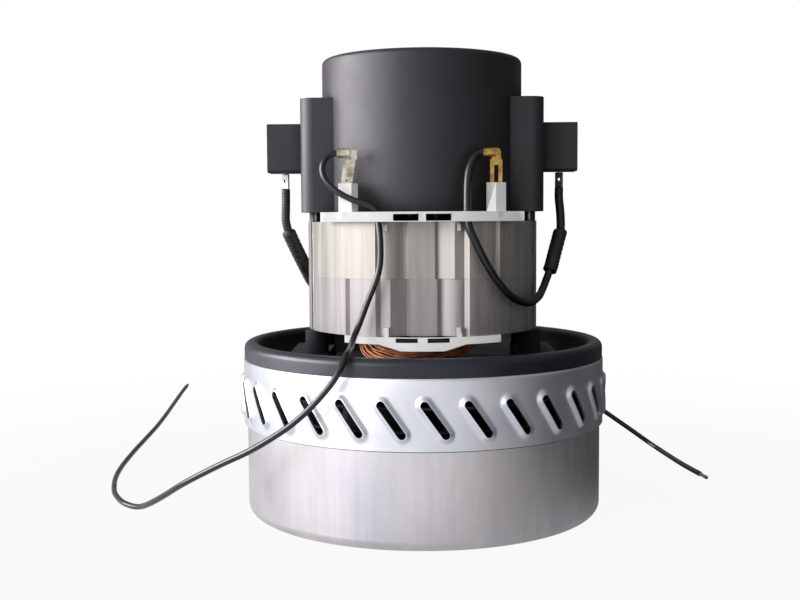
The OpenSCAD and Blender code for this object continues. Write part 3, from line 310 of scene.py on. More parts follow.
def galvanised():
    """Zinc-coated sheet: pale blue grey, soft spangle, small handling marks."""
    f = Finish("galvanised", Metallic=1.0)
    cloud = f.noise(60, detail=4)
    spangle = f.cells(260)
    marks = f.noise(700, detail=2, rise=0.3)
    base = f.blend(f.spread(cloud, 0, 1), rgb(228, 231, 243), rgb(243, 244, 250))
    base = f.blend(0.08, base, spangle, "OVERLAY")
    f.colour(base)
    f.roughness(f.spread(cloud, 0.36, 0.46))
    f.bump((marks, 0.00001))
    return f.material


def moulded(
    name, dark, light, gloss, grain=0.00006, grain_scale=2600, mottle=45, shade_within=(0.42, 0.8)
):
    """Moulded plastic: fine grain, slight mottling, paler worn edges, and hollows with painted
    shade and full roughness.
    """
    f = Finish(name, Specular_IOR_Level=0.52)
    cloud = f.noise(mottle, detail=4)
    skin = f.noise(grain_scale, detail=2)
    base = f.blend(f.spread(cloud, 0, 1), dark, light)
    worn = f.spread(f.edges(), 0, 0.35, (0.52, 0.60))
    base = f.blend(worn, base, tuple(min(1.0, 2.2 * c) for c in light))
    # Hollows and corners are darkened as painted shade
    sky = f.spread(f.open_sky(HOLLOW_SHADE_REACH), 0, 1, shade_within)
    f.colour(f.blend(sky, dimmed(dark, 0.2), base))
    f.roughness(f.blend(sky, (1, 1, 1, 1), f.spread(cloud, gloss - 0.05, gloss + 0.06)))
    f.bump((skin, grain))
    return f.material


def laminated(name, dark, light):
    """Edges of stacked stampings: a line per sheet, streaks from pressing."""
    f = Finish(name, Metallic=0.55, Specular_IOR_Level=0.3)
    sheet = f.lines(0.0007)
    streak = f.noise(420, detail=4, rise=0.05)
    broad = f.noise(70, detail=3, rise=0.1)
    base = f.blend(f.spread(streak, 0, 1), dark, light)
    base = f.blend(f.spread(broad, 0, 0.4), base, dark)
    f.colour(f.blend(f.spread(sheet, 0.07, 0, (0, 0.4)), base, rgb(110, 106, 104)))
    f.roughness(f.spread(streak, 0.46, 0.58))
    f.bump((streak, 0.00002))
    return f.material


def bright_metal(name, dark, light, roughness=(0.22, 0.36), scale=900, metallic=1.0):
    """Plain metal with handling haze, fine scratches and painted shade in corners."""
    f = Finish(name, Metallic=metallic)
    haze = f.noise(scale * 0.2, detail=4)
    scratch = f.noise(scale * 3, detail=3, rise=0.15)
    unshaded = f.blend(f.spread(haze, 0, 1), dark, light)
    # Corners are darkened as painted shade
    sky = f.spread(f.open_sky(CORNER_SHADE_REACH), 0, 1, (0.3, 0.6))
    f.colour(f.blend(sky, dimmed(dark, 0.25), unshaded))
    f.roughness(f.spread(haze, *roughness))
    f.bump((scratch, 0.00002))
    return f.material


def enamelled_copper():
    """Copper wire under clear enamel, lighter and darker along its run."""
    f = Finish("enamelled_copper", Metallic=0.7, Coat_Weight=0.5, Coat_Roughness=0.2)
    along = f.noise(240, detail=3)
    f.colour(f.blend(f.spread(along, 0, 1), rgb(168, 96, 66), rgb(238, 170, 130)))
    f.roughness(f.spread(along, 0.26, 0.4))
    return f.material


def wire_cover(name, dark, light, gloss):
    """Soft insulation: fine skin, dull patches."""
    f = Finish(name, Specular_IOR_Level=0.55)
    cloud = f.noise(160, detail=3)
    skin = f.noise(3800, detail=2)
    f.colour(f.blend(f.spread(cloud, 0, 1), dark, light))
    f.roughness(f.spread(cloud, gloss - 0.06, gloss + 0.08))
    f.bump((skin, 0.00001))
    return f.material


def sleeving():
    """Varnished sleeving: fine uneven ridges under a dull coat."""
    f = Finish("sleeving")
    cloud = f.noise(200, detail=3)
    ridges = f.lines(0.0011, distortion=1.5)
    f.colour(f.blend(f.spread(cloud, 0, 1), rgb(24, 24, 27), rgb(44, 43, 47)))
    f.roughness(f.spread(cloud, 0.42, 0.58))
    f.bump((ridges, 0.00008))
    return f.material


# Pockets of the upper and the lower coil guides, as spans; they take near-black painted shade
SHADED_POCKETS = (
    ((OUT, 36, 49.2), (SIDEWAYS, 1.2, 10.6), (UP, 114.6, 117.25)),
    ((OUT, 36, 45.8), (SIDEWAYS, 1.7, 10), (UP, 70.4, 72.2)),
)


def nylon():
    """White nylon: waxy, slightly let-through light, with painted shade in its corners and
    near-black painted shade in the coil guides' pockets.
    """
    f = Finish(
        "nylon", Subsurface_Weight=0.15, Subsurface_Radius=(0.002, 0.002, 0.0018),
        Subsurface_Scale=1.0,
    )
    cloud = f.noise(90, detail=3)
    skin = f.noise(2200, detail=2)
    white = f.blend(f.spread(cloud, 0, 1), rgb(236, 236, 234), rgb(248, 248, 247))
    # Corners are darkened as painted shade
    sky = f.spread(f.open_sky(NYLON_SHADE_REACH), 0, 1, (0.2, 0.45))
    shade = f.blend(sky, rgb(40, 40, 43), white)
    # The pockets are painted near-black, as shade
    for pocket in SHADED_POCKETS:
        shade = f.blend(f.inside(*pocket), shade, rgb(9, 9, 11))
    f.colour(shade)
    f.roughness(f.spread(cloud, 0.36, 0.48))
    f.bump((skin, 0.00003))
    return f.material


def turned_copper():
    """Commutator face: turned lines round a copper drum with a brush film."""
    f = Finish("commutator_copper", Metallic=1.0)
    turned = f.lines(0.0004, distortion=0.6)
    film = f.noise(300, detail=3, rise=0.3)
    f.colour(f.blend(f.spread(film, 0, 1), rgb(120, 66, 40), rgb(196, 122, 82)))
    f.roughness(f.spread(film, 0.25, 0.4))
    f.bump((turned, 0.000006))
    return f.material


FINISH = {
    "shell": drawn_metal(),
    "band": galvanised(),
    "fan": bright_metal("fan_sheet", rgb(88, 88, 90), rgb(120, 120, 122), (0.5, 0.65)),
    # The band's inner face: near-black painted shade, seen through the slots
    "inner_shade": bright_metal("band_inner_shade", rgb(22, 22, 23), rgb(36, 36, 37), (0.7, 0.85)),
    "rim": moulded("rim_plastic", rgb(27, 28, 38), rgb(38, 40, 54), 0.34, shade_within=(0.6, 0.9)),
    "cap": moulded("cap_plastic", rgb(36, 34, 40), rgb(47, 44, 51), 0.45),
    "stack_upper": laminated("stack_upper", rgb(180, 176, 171), rgb(216, 211, 205)),
    "stack_lower": laminated("stack_lower", rgb(174, 168, 169), rgb(210, 204, 203)),
    "core": laminated("core_sheets", rgb(120, 116, 114), rgb(160, 156, 152)),
    "nylon": nylon(),
    "copper": enamelled_copper(),
    "commutator": turned_copper(),
    "tinned": bright_metal("tinned", rgb(150, 136, 110), rgb(246, 242, 230), (0.2, 0.36), 1400),
    "brass": bright_metal("brass", rgb(124, 88, 34), rgb(228, 190, 108), (0.18, 0.34), 1400),
    "steel": bright_metal("zinc_steel", rgb(170, 170, 172), rgb(208, 208, 210), (0.22, 0.36)),
    "bolt": bright_metal("bolt_steel", rgb(140, 140, 143), rgb(182, 182, 184), (0.4, 0.54)),
    "ground": bright_metal("ground_steel", rgb(190, 190, 194), rgb(224, 224, 228), (0.12, 0.22)),
    "carbon": moulded("carbon", rgb(34, 34, 36), rgb(52, 52, 54), 0.6, 0.0001, 1800, 120),
    "cover": wire_cover("wire_cover", rgb(13, 14, 20), rgb(22, 23, 33), 0.26),
    "sleeve": sleeving(),
    "strand": bright_metal(
        "strands", rgb(206, 166, 138), rgb(244, 222, 202), (0.25, 0.4), metallic=0.4
    ),
}
NODE_FINISH = {
    "fan_shell": "shell", "vent_band": "band", "diffuser": "fan", "fan_end_bracket": "rim",
    "lower_bearing_outer": "ground", "lower_bearing_balls": "ground",
    "lower_bearing_inner": "ground", "upper_bearing_outer": "ground",
    "upper_bearing_balls": "ground", "upper_bearing_inner": "ground",
    "stator_stack_lower": "stack_lower", "stator_stack_upper": "stack_upper",
    "field_coil_front": "copper", "field_coil_rear": "copper",
    "upper_insulator_front": "nylon", "upper_insulator_rear": "nylon",
    "lower_insulator_front": "nylon", "lower_insulator_rear": "nylon",
    "lead_terminal_front": "tinned", "lead_terminal_rear": "tinned",
    "brush_terminal_front": "brass", "brush_terminal_rear": "brass",
    "commutator_bracket": "cap", "vent_grille": "cap", "brush_box_left": "cap",
    "brush_box_right": "cap", "brush_guide_left": "brass", "brush_guide_right": "brass",
    "brush_lug_left": "bolt", "brush_lug_right": "bolt",
    "brush_spring_left": "steel", "brush_spring_right": "steel",
    "brush_left": "carbon", "brush_right": "carbon", "jumper_left": "cover",
    "jumper_right": "cover", "jumper_sleeve_left": "sleeve", "jumper_sleeve_right": "sleeve",
    "stator_bolts": "bolt", "shaft": "ground", "armature_core": "core",
    "armature_winding": "copper", "commutator": "commutator", "cooling_fan": "rim",
    "cooling_fan_clip": "steel", "first_stage_fan": "fan", "second_stage_fan": "fan",
    "fan_spacer": "steel", "bearing_spacer": "steel", "fan_washer": "steel",
    "fan_nut": "steel", "lead_front": "cover", "lead_rear": "cover",
    "lead_tip_front": "strand", "lead_tip_rear": "strand",
}
for node, finish in NODE_FINISH.items():
    NODES[node].data.materials.clear()
    NODES[node].data.materials.append(FINISH[finish])


# Pieces

# Metres between the points of an eased route, how finely it is walked, how often it is smoothed
EASE_SPACING = 0.001
EASE_WALK = 16
EASE_PASSES = 8
EDGE_SEGMENTS = 2
EDGE_ANGLE = math.radians(40)
# In metres
EDGE_WELD = 1e-6


def add_piece(name, data, finish, body, node):
    """A new piece in the scene that rides on a body and stands for a node."""
    piece = bpy.data.objects.new(name, data)
    bpy.context.scene.collection.objects.link(piece)
    data.materials.append(FINISH[finish])
    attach(piece, body)
    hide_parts(node)
    return piece


def mesh_of(name, points, faces, smooth=True):
    """A mesh from points in metres and faces of their numbers."""
    mesh = bpy.data.meshes.new(name)
    mesh.from_pydata(points, [], faces)
    mesh.validate()
    if smooth:
        mesh.shade_smooth()
    return mesh


def wire_curve(name, routes, radius, sides, steps, cyclic=False):
    """A round wire on one or more smooth routes through their points."""
    curve = bpy.data.curves.new(name, "CURVE")
    curve.dimensions = "3D"
    curve.bevel_depth = radius
    curve.bevel_resolution = sides
    curve.resolution_u = steps
    curve.use_fill_caps = True
    for route in routes:
        spline = curve.splines.new("BEZIER")
        spline.bezier_points.add(len(route) - 1)
        spline.use_cyclic_u = cyclic
        for knot, point in zip(spline.bezier_points, route):
            knot.co = point
            knot.handle_left_type = knot.handle_right_type = "AUTO"
    return curve


def through(points, steps):
    """Points on a smooth line through the given ones (Catmull-Rom)."""
    ends = [2 * points[0] - points[1], *points, 2 * points[-1] - points[-2]]
    line = []
    for a, b, c, d in zip(ends, ends[1:], ends[2:], ends[3:]):
        for i in range(steps):
            t = i / steps
            line.append(
                0.5 * (2 * b + (c - a) * t + (2 * a - 5 * b + 4 * c - d) * t * t
                       + (3 * b - a - 3 * c + d) * t ** 3)
            )
    return [*line, points[-1].copy()]


def smooth_step(t):
    """0 up to 0 and 1 from 1 on, with a smooth rise between."""
    t = min(max(t, 0), 1)
    return t * t * (3 - 2 * t)


def eased(points):
    """A route through the points, evenly spaced and with its sharp turns eased."""
    walk, line, left = through(points, EASE_WALK), [points[0]], EASE_SPACING
    for a, b in zip(walk, walk[1:]):
        step = (b - a).length
        while left <= step:
            line.append(a.lerp(b, left / step))
            left += EASE_SPACING
        left -= step
    line.append(points[-1])
    for _ in range(EASE_PASSES):
        line[1:-1] = [(a + 2 * b + c) / 4 for a, b, c in zip(line, line[1:], line[2:])]
    return line


def tube_mesh(name, line, radii, sides=20):
    """A closed tube of changing radius along a line of points."""
    points, faces = [], []
    normal = None
    for i, point in enumerate(line):
        ahead = (line[min(i + 1, len(line) - 1)] - line[max(i - 1, 0)]).normalized()
        if normal is None:
            normal = ahead.orthogonal()
        normal = (normal - normal.dot(ahead) * ahead).normalized()
        other = ahead.cross(normal)
        for k in range(sides):
            a = math.tau * k / sides
            points.append(point + radii[i] * (math.cos(a) * normal + math.sin(a) * other))
    for i in range(len(line) - 1):
        for k in range(sides):
            a, b = i * sides + k, i * sides + (k + 1) % sides
            faces.append((a, b, b + sides, a + sides))
    last = (len(line) - 1) * sides
    faces.append(tuple(reversed(range(sides))))
    faces.append(tuple(range(last, last + sides)))
    return mesh_of(name, points, faces)


def soften(node, width, flat_faces):
    """Rounded edges on a solid, with either its flat or its curved faces kept even."""
    weld = NODES[node].modifiers.new("weld", "WELD")
    weld.merge_threshold = EDGE_WELD
    bevel = NODES[node].modifiers.new("edges", "BEVEL")
    bevel.width = width
    bevel.segments = EDGE_SEGMENTS
    bevel.limit_method = "ANGLE"
    bevel.angle_limit = EDGE_ANGLE
    bevel.harden_normals = flat_faces
    if not flat_faces:
        shade = NODES[node].modifiers.new("shade", "WEIGHTED_NORMAL")
        shade.keep_sharp = True


# Exhaust band with flared slots, a little wider than the solid's slots of 2.4 mm

SLOT_W = 2.9
RING_POINTS = 56
LIP_W = 1.9
LIP_H = 1.3
LIP_RINGS = (0, 0.1, 0.3, 0.55, 0.85, 1.15, 1.45, 1.75, 2.1)
LIP_CLEAR = 0.3
TOP_ROUND = 0.9
TOP_DROP = 0.7
TOP_STEPS = (0.35, 0.65, 0.87, 1.0)
CELL_W = math.tau * BAND_R / SLOT_COUNT
CELL_SLANT = -1 / math.tan(SLOT_TILT)
CELL_COLUMNS = 14
CELL_ROWS = 22
CELL_MERGE = 1e-6
SLIVER = 1e-4
# In metres
BAND_WELD = 2e-5
BAND_SHARP = math.radians(50)


def slot_gap(u, v):
    """Distance outside a slot's edge from a place on the flat sheet."""
    along = u * math.cos(SLOT_TILT) - v * math.sin(SLOT_TILT)
    across = u * math.sin(SLOT_TILT) + v * math.cos(SLOT_TILT)
    beyond = max(abs(along) - (SLOT_L - SLOT_W) / 2, 0)
    return math.hypot(beyond, across) - SLOT_W / 2


def slot_ring(grow):
    """Points round a slot at a distance from its edge."""
    half, r = (SLOT_L - SLOT_W) / 2, SLOT_W / 2 + grow
    straight, bend = 2 * half, math.pi * r
    total = 2 * (straight + bend)
    ring = []
    for i in range(RING_POINTS):
        s = total * i / RING_POINTS
        if s < straight:
            along, across = -half + s, -r
        elif s < straight + bend:
            a = (s - straight) / r
            along, across = half + r * math.sin(a), -r * math.cos(a)
        elif s < 2 * straight + bend:
            along, across = half - (s - straight - bend), r
        else:
            a = (s - 2 * straight - bend) / r
            along, across = -half - r * math.sin(a), r * math.cos(a)
        ring.append((
            along * math.cos(SLOT_TILT) + across * math.sin(SLOT_TILT),
            -along * math.sin(SLOT_TILT) + across * math.cos(SLOT_TILT),
        ))
    return ring


def band_place(u, v, turn, inset):
    """A place on the flat sheet, laid on the band with its lip and rounded top edge."""
    lift = LIP_H * (1 - smooth_step(slot_gap(u, v) / LIP_W))
    height = SLOT_RISE + v
    near_top = max(0.0, (height - (BAND_Z[1] - BAND_Z[0] - TOP_ROUND)) / TOP_ROUND)
    drop = TOP_DROP * (1 - math.sqrt(max(0.0, 1 - near_top * near_top)))
    a = u / BAND_R + turn
    r = (BAND_R + lift - drop - inset) * MM
    return (r * math.sin(a), -r * math.cos(a), (BAND_Z[0] + height) * MM)


def cell_points():
    """Places on one slot's slanted cell of flat sheet, and the edges that its faces keep."""
    low, high = -SLOT_RISE, BAND_Z[1] - BAND_Z[0] - SLOT_RISE
    rows = [low + (high - low - TOP_ROUND) * i / CELL_ROWS for i in range(CELL_ROWS + 1)]
    rows += [high - TOP_ROUND + TOP_ROUND * t for t in TOP_STEPS]
    flat = [place for grow in LIP_RINGS for place in slot_ring(grow)]
    edges = [(i, (i + 1) % RING_POINTS) for i in range(RING_POINTS)]
    sides = ([], [])
    for v in rows:
        for i in range(CELL_COLUMNS + 1):
            u = CELL_W * (i / CELL_COLUMNS - 0.5) + CELL_SLANT * v
            at_side = i in (0, CELL_COLUMNS)
            if at_side:
                sides[i // CELL_COLUMNS].append(len(flat))
            if at_side or slot_gap(u, v) > LIP_RINGS[-1] + LIP_CLEAR:
                flat.append((u, v))
    edges += [pair for side in sides for pair in zip(side, side[1:])]
    return flat, edges


def cell_faces(places, faces):
    """The faces outside the slot, and their border edges that meet no other cell."""
    keep = []
    for a, b, c in faces:
        middle = (places[a] + places[b] + places[c]) / 3
        area = (places[b] - places[a]).cross(places[c] - places[a]) / 2
        if slot_gap(*middle) > 0 and area > SLIVER:
            keep.append((a, b, c))
    once = set()
    for face in keep:
        for edge in zip(face, face[1:] + face[:1]):
            once ^= {edge} if edge[::-1] not in once else {edge[::-1]}

    def at_side(i):
        return abs(abs(places[i].x - CELL_SLANT * places[i].y) - CELL_W / 2) < SLIVER

    return keep, [(a, b) for a, b in once if not (at_side(a) and at_side(b))]


def flared_band():
    """One slanted sheet cell per slot, so that cells meet between the lips."""
    flat, edges = cell_points()
    places, _, faces, *_ = delaunay_2d_cdt([Vector(p) for p in flat], edges, [], 0, CELL_MERGE)
    keep, border = cell_faces(places, faces)
    count = len(places)
    outside = keep + [(b, a, a + count, b + count) for a, b in border]
    inside = [(c + count, b + count, a + count) for a, b, c in keep]
    points, faces, is_inside = [], [], []
    for k in range(SLOT_COUNT):
        turn = SLOT_PHASE + math.tau * k / SLOT_COUNT
        start = len(points)
        points += [band_place(u, v, turn, inset) for inset in (0, BAND_T) for u, v in places]
        faces += [tuple(i + start for i in face) for face in outside + inside]
        is_inside += [False] * len(outside) + [True] * len(inside)
    mesh = mesh_of("exhaust_band", points, faces)
    mesh.set_sharp_from_angle(angle=BAND_SHARP)
    band = add_piece("exhaust_band", mesh, "band", "housing", "vent_band")
    # The inner faces take the near-black painted shade
    mesh.materials.append(FINISH["inner_shade"])
    mesh.polygons.foreach_set("material_index", is_inside)
    weld = band.modifiers.new("weld", "WELD")
    weld.merge_threshold = BAND_WELD


flared_band()

# Field coils: each pole's winding as laid strands

COIL_WIRE_R = 0.38
COIL_LAYERS = 5
COIL_TURNS = 12
COIL_PITCH = 0.94
COIL_R = 27.6
COIL_HALF_W = 16.8
COIL_BULGE = 3.6
COIL_FLARE = 0.34
COIL_LEAN = 0.13
COIL_SAG = 0.24
COIL_ARC = 10
# How much a turn's reach and half width grow, and how far its reach and radius stray
COIL_GROW = (0.78, 0.9)
COIL_STRAY = (0.6, 0.3)


def coil_turn(layer, turn, chance):
    """One closed turn: up one side of the pole, over it, down and under."""
    r0 = COIL_R + COIL_PITCH * layer
    grow = COIL_PITCH * (turn + 0.5 * (layer % 2))
    route = []
    for end in (1, -1):
        for level in (-1, 0, 1):
            route.append((end, end * level, 0.0))
        for i in range(1, COIL_ARC):
            a = math.pi * i / COIL_ARC
            route.append((end * math.cos(a), end, end * math.sin(a)))
    middle, half = sum(STACK_Z) / 2, (STACK_Z[1] - STACK_Z[0]) / 2
    points = []
    for side, share, over in route:
        rise, shift = (chance.uniform(-far, far) if over else 0.0 for far in COIL_STRAY)
        reach = over * (COIL_BULGE + COIL_GROW[0] * grow + rise) * (1 - COIL_SAG * side)
        r = r0 + COIL_FLARE * abs(reach) + shift
        width = COIL_HALF_W + COIL_GROW[1] * grow
        a = width * side * (1 - COIL_LEAN * side * abs(over)) / r0
        points.append(
            Vector((r * math.sin(a), -r * math.cos(a), middle + share * half + reach)) * MM
        )
    return points


def field_coil(name, node, seed, turned):
    """All the turns round the front pole, or those of the rear one, turned half round."""
    chance = random.Random(seed)
    routes = [
        coil_turn(layer, turn, chance)
        for layer in range(COIL_LAYERS) for turn in range(COIL_TURNS)
    ]
    if turned:
        routes = [half_round(route) for route in routes]
    curve = wire_curve(name, routes, COIL_WIRE_R * MM, sides=1, steps=2, cyclic=True)
    add_piece(name, curve, "copper", "housing", node)


field_coil("coil_front", "field_coil_front", seed=3, turned=False)
field_coil("coil_rear", "field_coil_rear", seed=7, turned=True)

# Armature winding: a bundle of turns per slot, each to the slot five further on

ARMATURE_SLOTS = 12
ARMATURE_STEP = 5
ARMATURE_WIRES = 9
ARMATURE_WIRE_R = 0.4
ARMATURE_BESIDE = 1.1
ARMATURE_SLOT_R = (13.5, 18.2)
ARMATURE_WAIST = 10.6
ARMATURE_WAIST_STEP = 0.5
ARMATURE_REACH = (12.4, 8.0)
ARMATURE_REACH_SHARE = (0.3, 0.62)
ARMATURE_LIFT = 0.4
ARMATURE_ARC = 10


def armature_turn(slot, wire):
    """One closed turn: up its slot, round the shaft, down the other slot and back under."""
    low, high = ARMATURE_SLOT_R
    r = low + (high - low) * wire / (ARMATURE_WIRES - 1)
    first = math.tau * slot / ARMATURE_SLOTS
    span = math.tau * ARMATURE_STEP / ARMATURE_SLOTS
    beside = ARMATURE_BESIDE * (wire % 2 - 0.5) / r
    layer = (slot * ARMATURE_STEP % ARMATURE_SLOTS + 1) / ARMATURE_SLOTS
    waist = ARMATURE_WAIST + ARMATURE_WAIST_STEP * wire
    near, more = ARMATURE_REACH_SHARE
    route = []
    for end in (1, 0):
        reach = ARMATURE_REACH[1 - end] * (near + more * layer)
        for i in range(ARMATURE_ARC + 1):
            share = i / ARMATURE_ARC
            over = math.sin(math.pi * share)
            at = r - (r - waist) * over ** 2
            a = first + span * (share if end else 1 - share) + beside
            beyond = ARMATURE_LIFT + reach * over ** 0.7
            z = STACK_Z[end] + (beyond if end else -beyond)
            route.append((at * math.sin(a), -at * math.cos(a), z))
    return metres(route)


def armature_strands():
    """The turns of all slots as one piece on the rotor."""
    routes = [
        armature_turn(slot, wire)
        for slot in range(ARMATURE_SLOTS) for wire in range(ARMATURE_WIRES)
    ]
    curve = wire_curve(
        "armature_strands", routes, ARMATURE_WIRE_R * MM, sides=1, steps=2, cyclic=True
    )
    add_piece("armature_strands", curve, "copper", "rotor", "armature_winding")


armature_strands()

# Wires

STRAND_COUNT = 7
STRAND_R = 0.24
STRAND_LAY_R = 0.52
STRAND_TWIST = 0.8
STRAND_SPLAY = 0.25
STRAND_SUNK = 0.6
STRAND_STEPS = 8


def strands(name, start, way, node):
    """A stripped end: twisted bare strands that run on from the cover."""
    across = way.orthogonal().normalized()
    other = way.cross(across)
    routes = []
    for k in range(STRAND_COUNT):
        r = 0 if k == 0 else STRAND_LAY_R
        route = []
        for i in range(STRAND_STEPS + 1):
            t = i / STRAND_STEPS
            a = math.tau * (k / (STRAND_COUNT - 1) + STRAND_TWIST * t)
            spread = r * (1 + STRAND_SPLAY * t * t)
            route.append(
                start + way * (STRAND_L * t - STRAND_SUNK) * MM
                + (math.cos(a) * across + math.sin(a) * other) * spread * MM
            )
        routes.append(route)
    curve = wire_curve(name, routes, STRAND_R * MM, sides=2, steps=3)
    return add_piece(name, curve, "strand", "housing", node)


def supply_lead(name, route, node, tip_node):
    """A free lead with its stripped end."""
    points = eased(metres(route))
    curve = wire_curve(name, [points], LEAD_D / 2 * MM, sides=5, steps=1)
    lead = add_piece(name, curve, "cover", "housing", node)
    way = (points[-1] - points[-2]).normalized()
    tip = strands(name + "_strands", points[-1], way, tip_node)


supply_lead("supply_lead_front", LEAD_HEAD + FRONT_TAIL, "lead_front", "lead_tip_front")
supply_lead("supply_lead_rear", half_round(LEAD_HEAD) + REAR_TAIL, "lead_rear", "lead_tip_rear")


def brush_wire(name, route, node):
    """A wire from its terminal to the sleeve at the brush, held at both ends."""
    curve = wire_curve(name, [eased(metres(route))], JUMPER_D / 2 * MM, sides=5, steps=1)
    add_piece(name, curve, "cover", "housing", node)


brush_wire("brush_wire_right", JUMPER_HEAD + JUMPER_TAIL_RIGHT, "jumper_right")
brush_wire("brush_wire_left", half_round(JUMPER_HEAD + JUMPER_TAIL_LEFT), "jumper_left")

SLEEVE_THICK_R = 2.75
SLEEVE_THIN_R = 1.7
SLEEVE_STEP_Z = 110.6
SLEEVE_STEP_L = 1.0
SLEEVE_WRINKLE = 0.07
SLEEVE_WRINKLE_TURN = 1.9
SLEEVE_END_SHARES = (0.9, 0.94)
SLEEVE_STEPS = 8


def brush_sleeve(name, route, node):
    """Thick sleeving over the joint, stepping down to thin sleeving at the lug."""
    line = through(metres(route), SLEEVE_STEPS)
    radii = []
    for i, p in enumerate(line):
        share = smooth_step((p.z / MM - SLEEVE_STEP_Z) / SLEEVE_STEP_L + 0.5)
        r = SLEEVE_THICK_R + (SLEEVE_THIN_R - SLEEVE_THICK_R) * share
        r += SLEEVE_WRINKLE * math.sin(i * SLEEVE_WRINKLE_TURN) * (1 - share)
        radii.append(r * MM)
    radii[0] *= SLEEVE_END_SHARES[0]
    radii[-1] *= SLEEVE_END_SHARES[1]
    mesh = tube_mesh(name, line, radii)
    add_piece(name, mesh, "sleeve", "housing", node)


brush_sleeve("brush_sleeve_right", SLEEVE_RIGHT, "jumper_sleeve_right")
brush_sleeve("brush_sleeve_left", half_round(SLEEVE_LEFT), "jumper_sleeve_left")

# Brush springs, each built at one length between its brush and lug

SPRING_GAP = 0.05
SPRING_CLOSED = 0.9
SPRING_CLOSED_PITCH = 1.1
SPRING_STEPS = 20
SPRING_SIDES = 10


def brush_spring(side, turn):
    """A wire spring with closed end curls, between the brush and its lug."""
    closed = SPRING_CLOSED
    curls = SPRING_CURLS + 2 * closed
    steps = round(curls * SPRING_STEPS)
    low = BRUSH_BACK_X + SPRING_WIRE_R + SPRING_GAP
    high = LUG_X - SPRING_WIRE_R - SPRING_GAP
    packed = 4 * SPRING_WIRE_R * SPRING_CLOSED_PITCH * closed
    line = []
    for i in range(steps + 1):
        curl = curls * i / steps
        share = min(max((curl - closed) / SPRING_CURLS, 0), 1)
        ends = (min(curl, closed) + max(curl - closed - SPRING_CURLS, 0)) / (2 * closed)
        x = low + packed * ends + (high - low - packed) * share
        a = math.tau * curl
        line.append(Vector((
            turn * x, turn * SPRING_R * math.cos(a), BRUSH_Z + SPRING_R * math.sin(a)
        )) * MM)
    name = "brush_spring_wire_" + side
    mesh = tube_mesh(name, line, [SPRING_WIRE_R * MM] * len(line), SPRING_SIDES)
    spring = add_piece(name, mesh, "steel", "housing", "brush_spring_" + side)
    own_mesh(spring)


brush_spring("right", 1)
brush_spring("left", -1)

# Edges of the solids, with the widths of their rounding in metres

EDGE_WIDTHS = {
    "commutator_bracket": 0.0006, "brush_box_left": 0.0006, "brush_box_right": 0.0006,
    "vent_grille": 0.0004, "fan_end_bracket": 0.0005,
    "upper_insulator_front": 0.0003, "upper_insulator_rear": 0.0003,
    "lower_insulator_front": 0.0003, "lower_insulator_rear": 0.0003,
    "stator_stack_lower": 0.0002, "stator_stack_upper": 0.0002,
    "lead_terminal_front": 0.00015, "lead_terminal_rear": 0.00015,
    "brush_terminal_front": 0.00015, "brush_terminal_rear": 0.00015,
    "brush_lug_left": 0.00015, "brush_lug_right": 0.00015, "stator_bolts": 0.0002,
    "fan_shell": 0.0002,
}
for node, width in EDGE_WIDTHS.items():
    soften(node, width, flat_faces=NODE_FINISH[node] == "nylon")

# Stage: floor, surround, light and camera, in metres

TO_LIGHT = Vector((-0.78, -0.61, 0.14))
# How bright the surround is in a mirror: pairs of a place, from 0 on the side away from the light
# to 1 on the lit side, and a level there, with both ends first
FALL = ((0.0, 0.07), (1.0, 0.9), (0.2, 0.23), (0.38, 0.36), (0.52, 0.38), (0.81, 0.72))
AMBIENT = 0.19
# The floor's half size, drop and glow near the object, and where its glow rises to full white
FLOOR_HALF = 6.0
FLOOR_DROP = 2e-4
FLOOR_GLOW = 0.93
FLOOR_GLOW_RISE = (0.1, 0.45)
# In a mirror the floor runs through FALL in a tenth of a metre to each side
FLOOR_FALL = (10, 10, 10)
LAMP_AIM = Vector((0, 0, 0.1))
CAMERA_PLACE = (0, -0.450, 0.1158)
CAMERA_SENSOR = 36
CAMERA_LENS = 50.47
CAMERA_YAW = math.radians(1.155)
CAMERA_PITCH = math.radians(90 - 4.193)
CAMERA_ROLL = -0.006


class Surround:
    """What stands round the object: white to the eye, and in a mirror white on the lit side
    that falls off to grey on the other."""

    def __init__(self, tree, way):
        self.make, self.link = tree.nodes.new, tree.links.new
        path = self.make("ShaderNodeLightPath").outputs
        facing = self.make("ShaderNodeVectorMath")
        facing.operation = "DOT_PRODUCT"
        self.link(way, facing.inputs[0])
        facing.inputs[1].default_value = TO_LIGHT
        share = self.math("MULTIPLY_ADD", facing.outputs["Value"], 0.5, 0.5)
        ramp = self.make("ShaderNodeValToRGB")
        self.link(share, ramp.inputs["Fac"])
        for i, (place, level) in enumerate(FALL):
            stop = ramp.color_ramp.elements[i] if i < 2 else ramp.color_ramp.elements.new(place)
            stop.position = place
            stop.color = (level, level, level, 1)
        self.fall = ramp.outputs["Color"]
        self.white = self.math("MAXIMUM", path["Is Camera Ray"], self.fall)
        mirrored = self.math("MAXIMUM", path["Is Glossy Ray"], path["Is Transmission Ray"])
        self.seen = self.math("MAXIMUM", path["Is Camera Ray"], mirrored)

    def math(self, kind, *terms):
        """The result of a sum on numbers or nodes' outputs."""
        made = self.make("ShaderNodeMath")
        made.operation = kind
        for socket, value in zip(made.inputs, terms):
            if isinstance(value, bpy.types.NodeSocket):
                self.link(value, socket)
            else:
                socket.default_value = value
        return made.outputs[0]


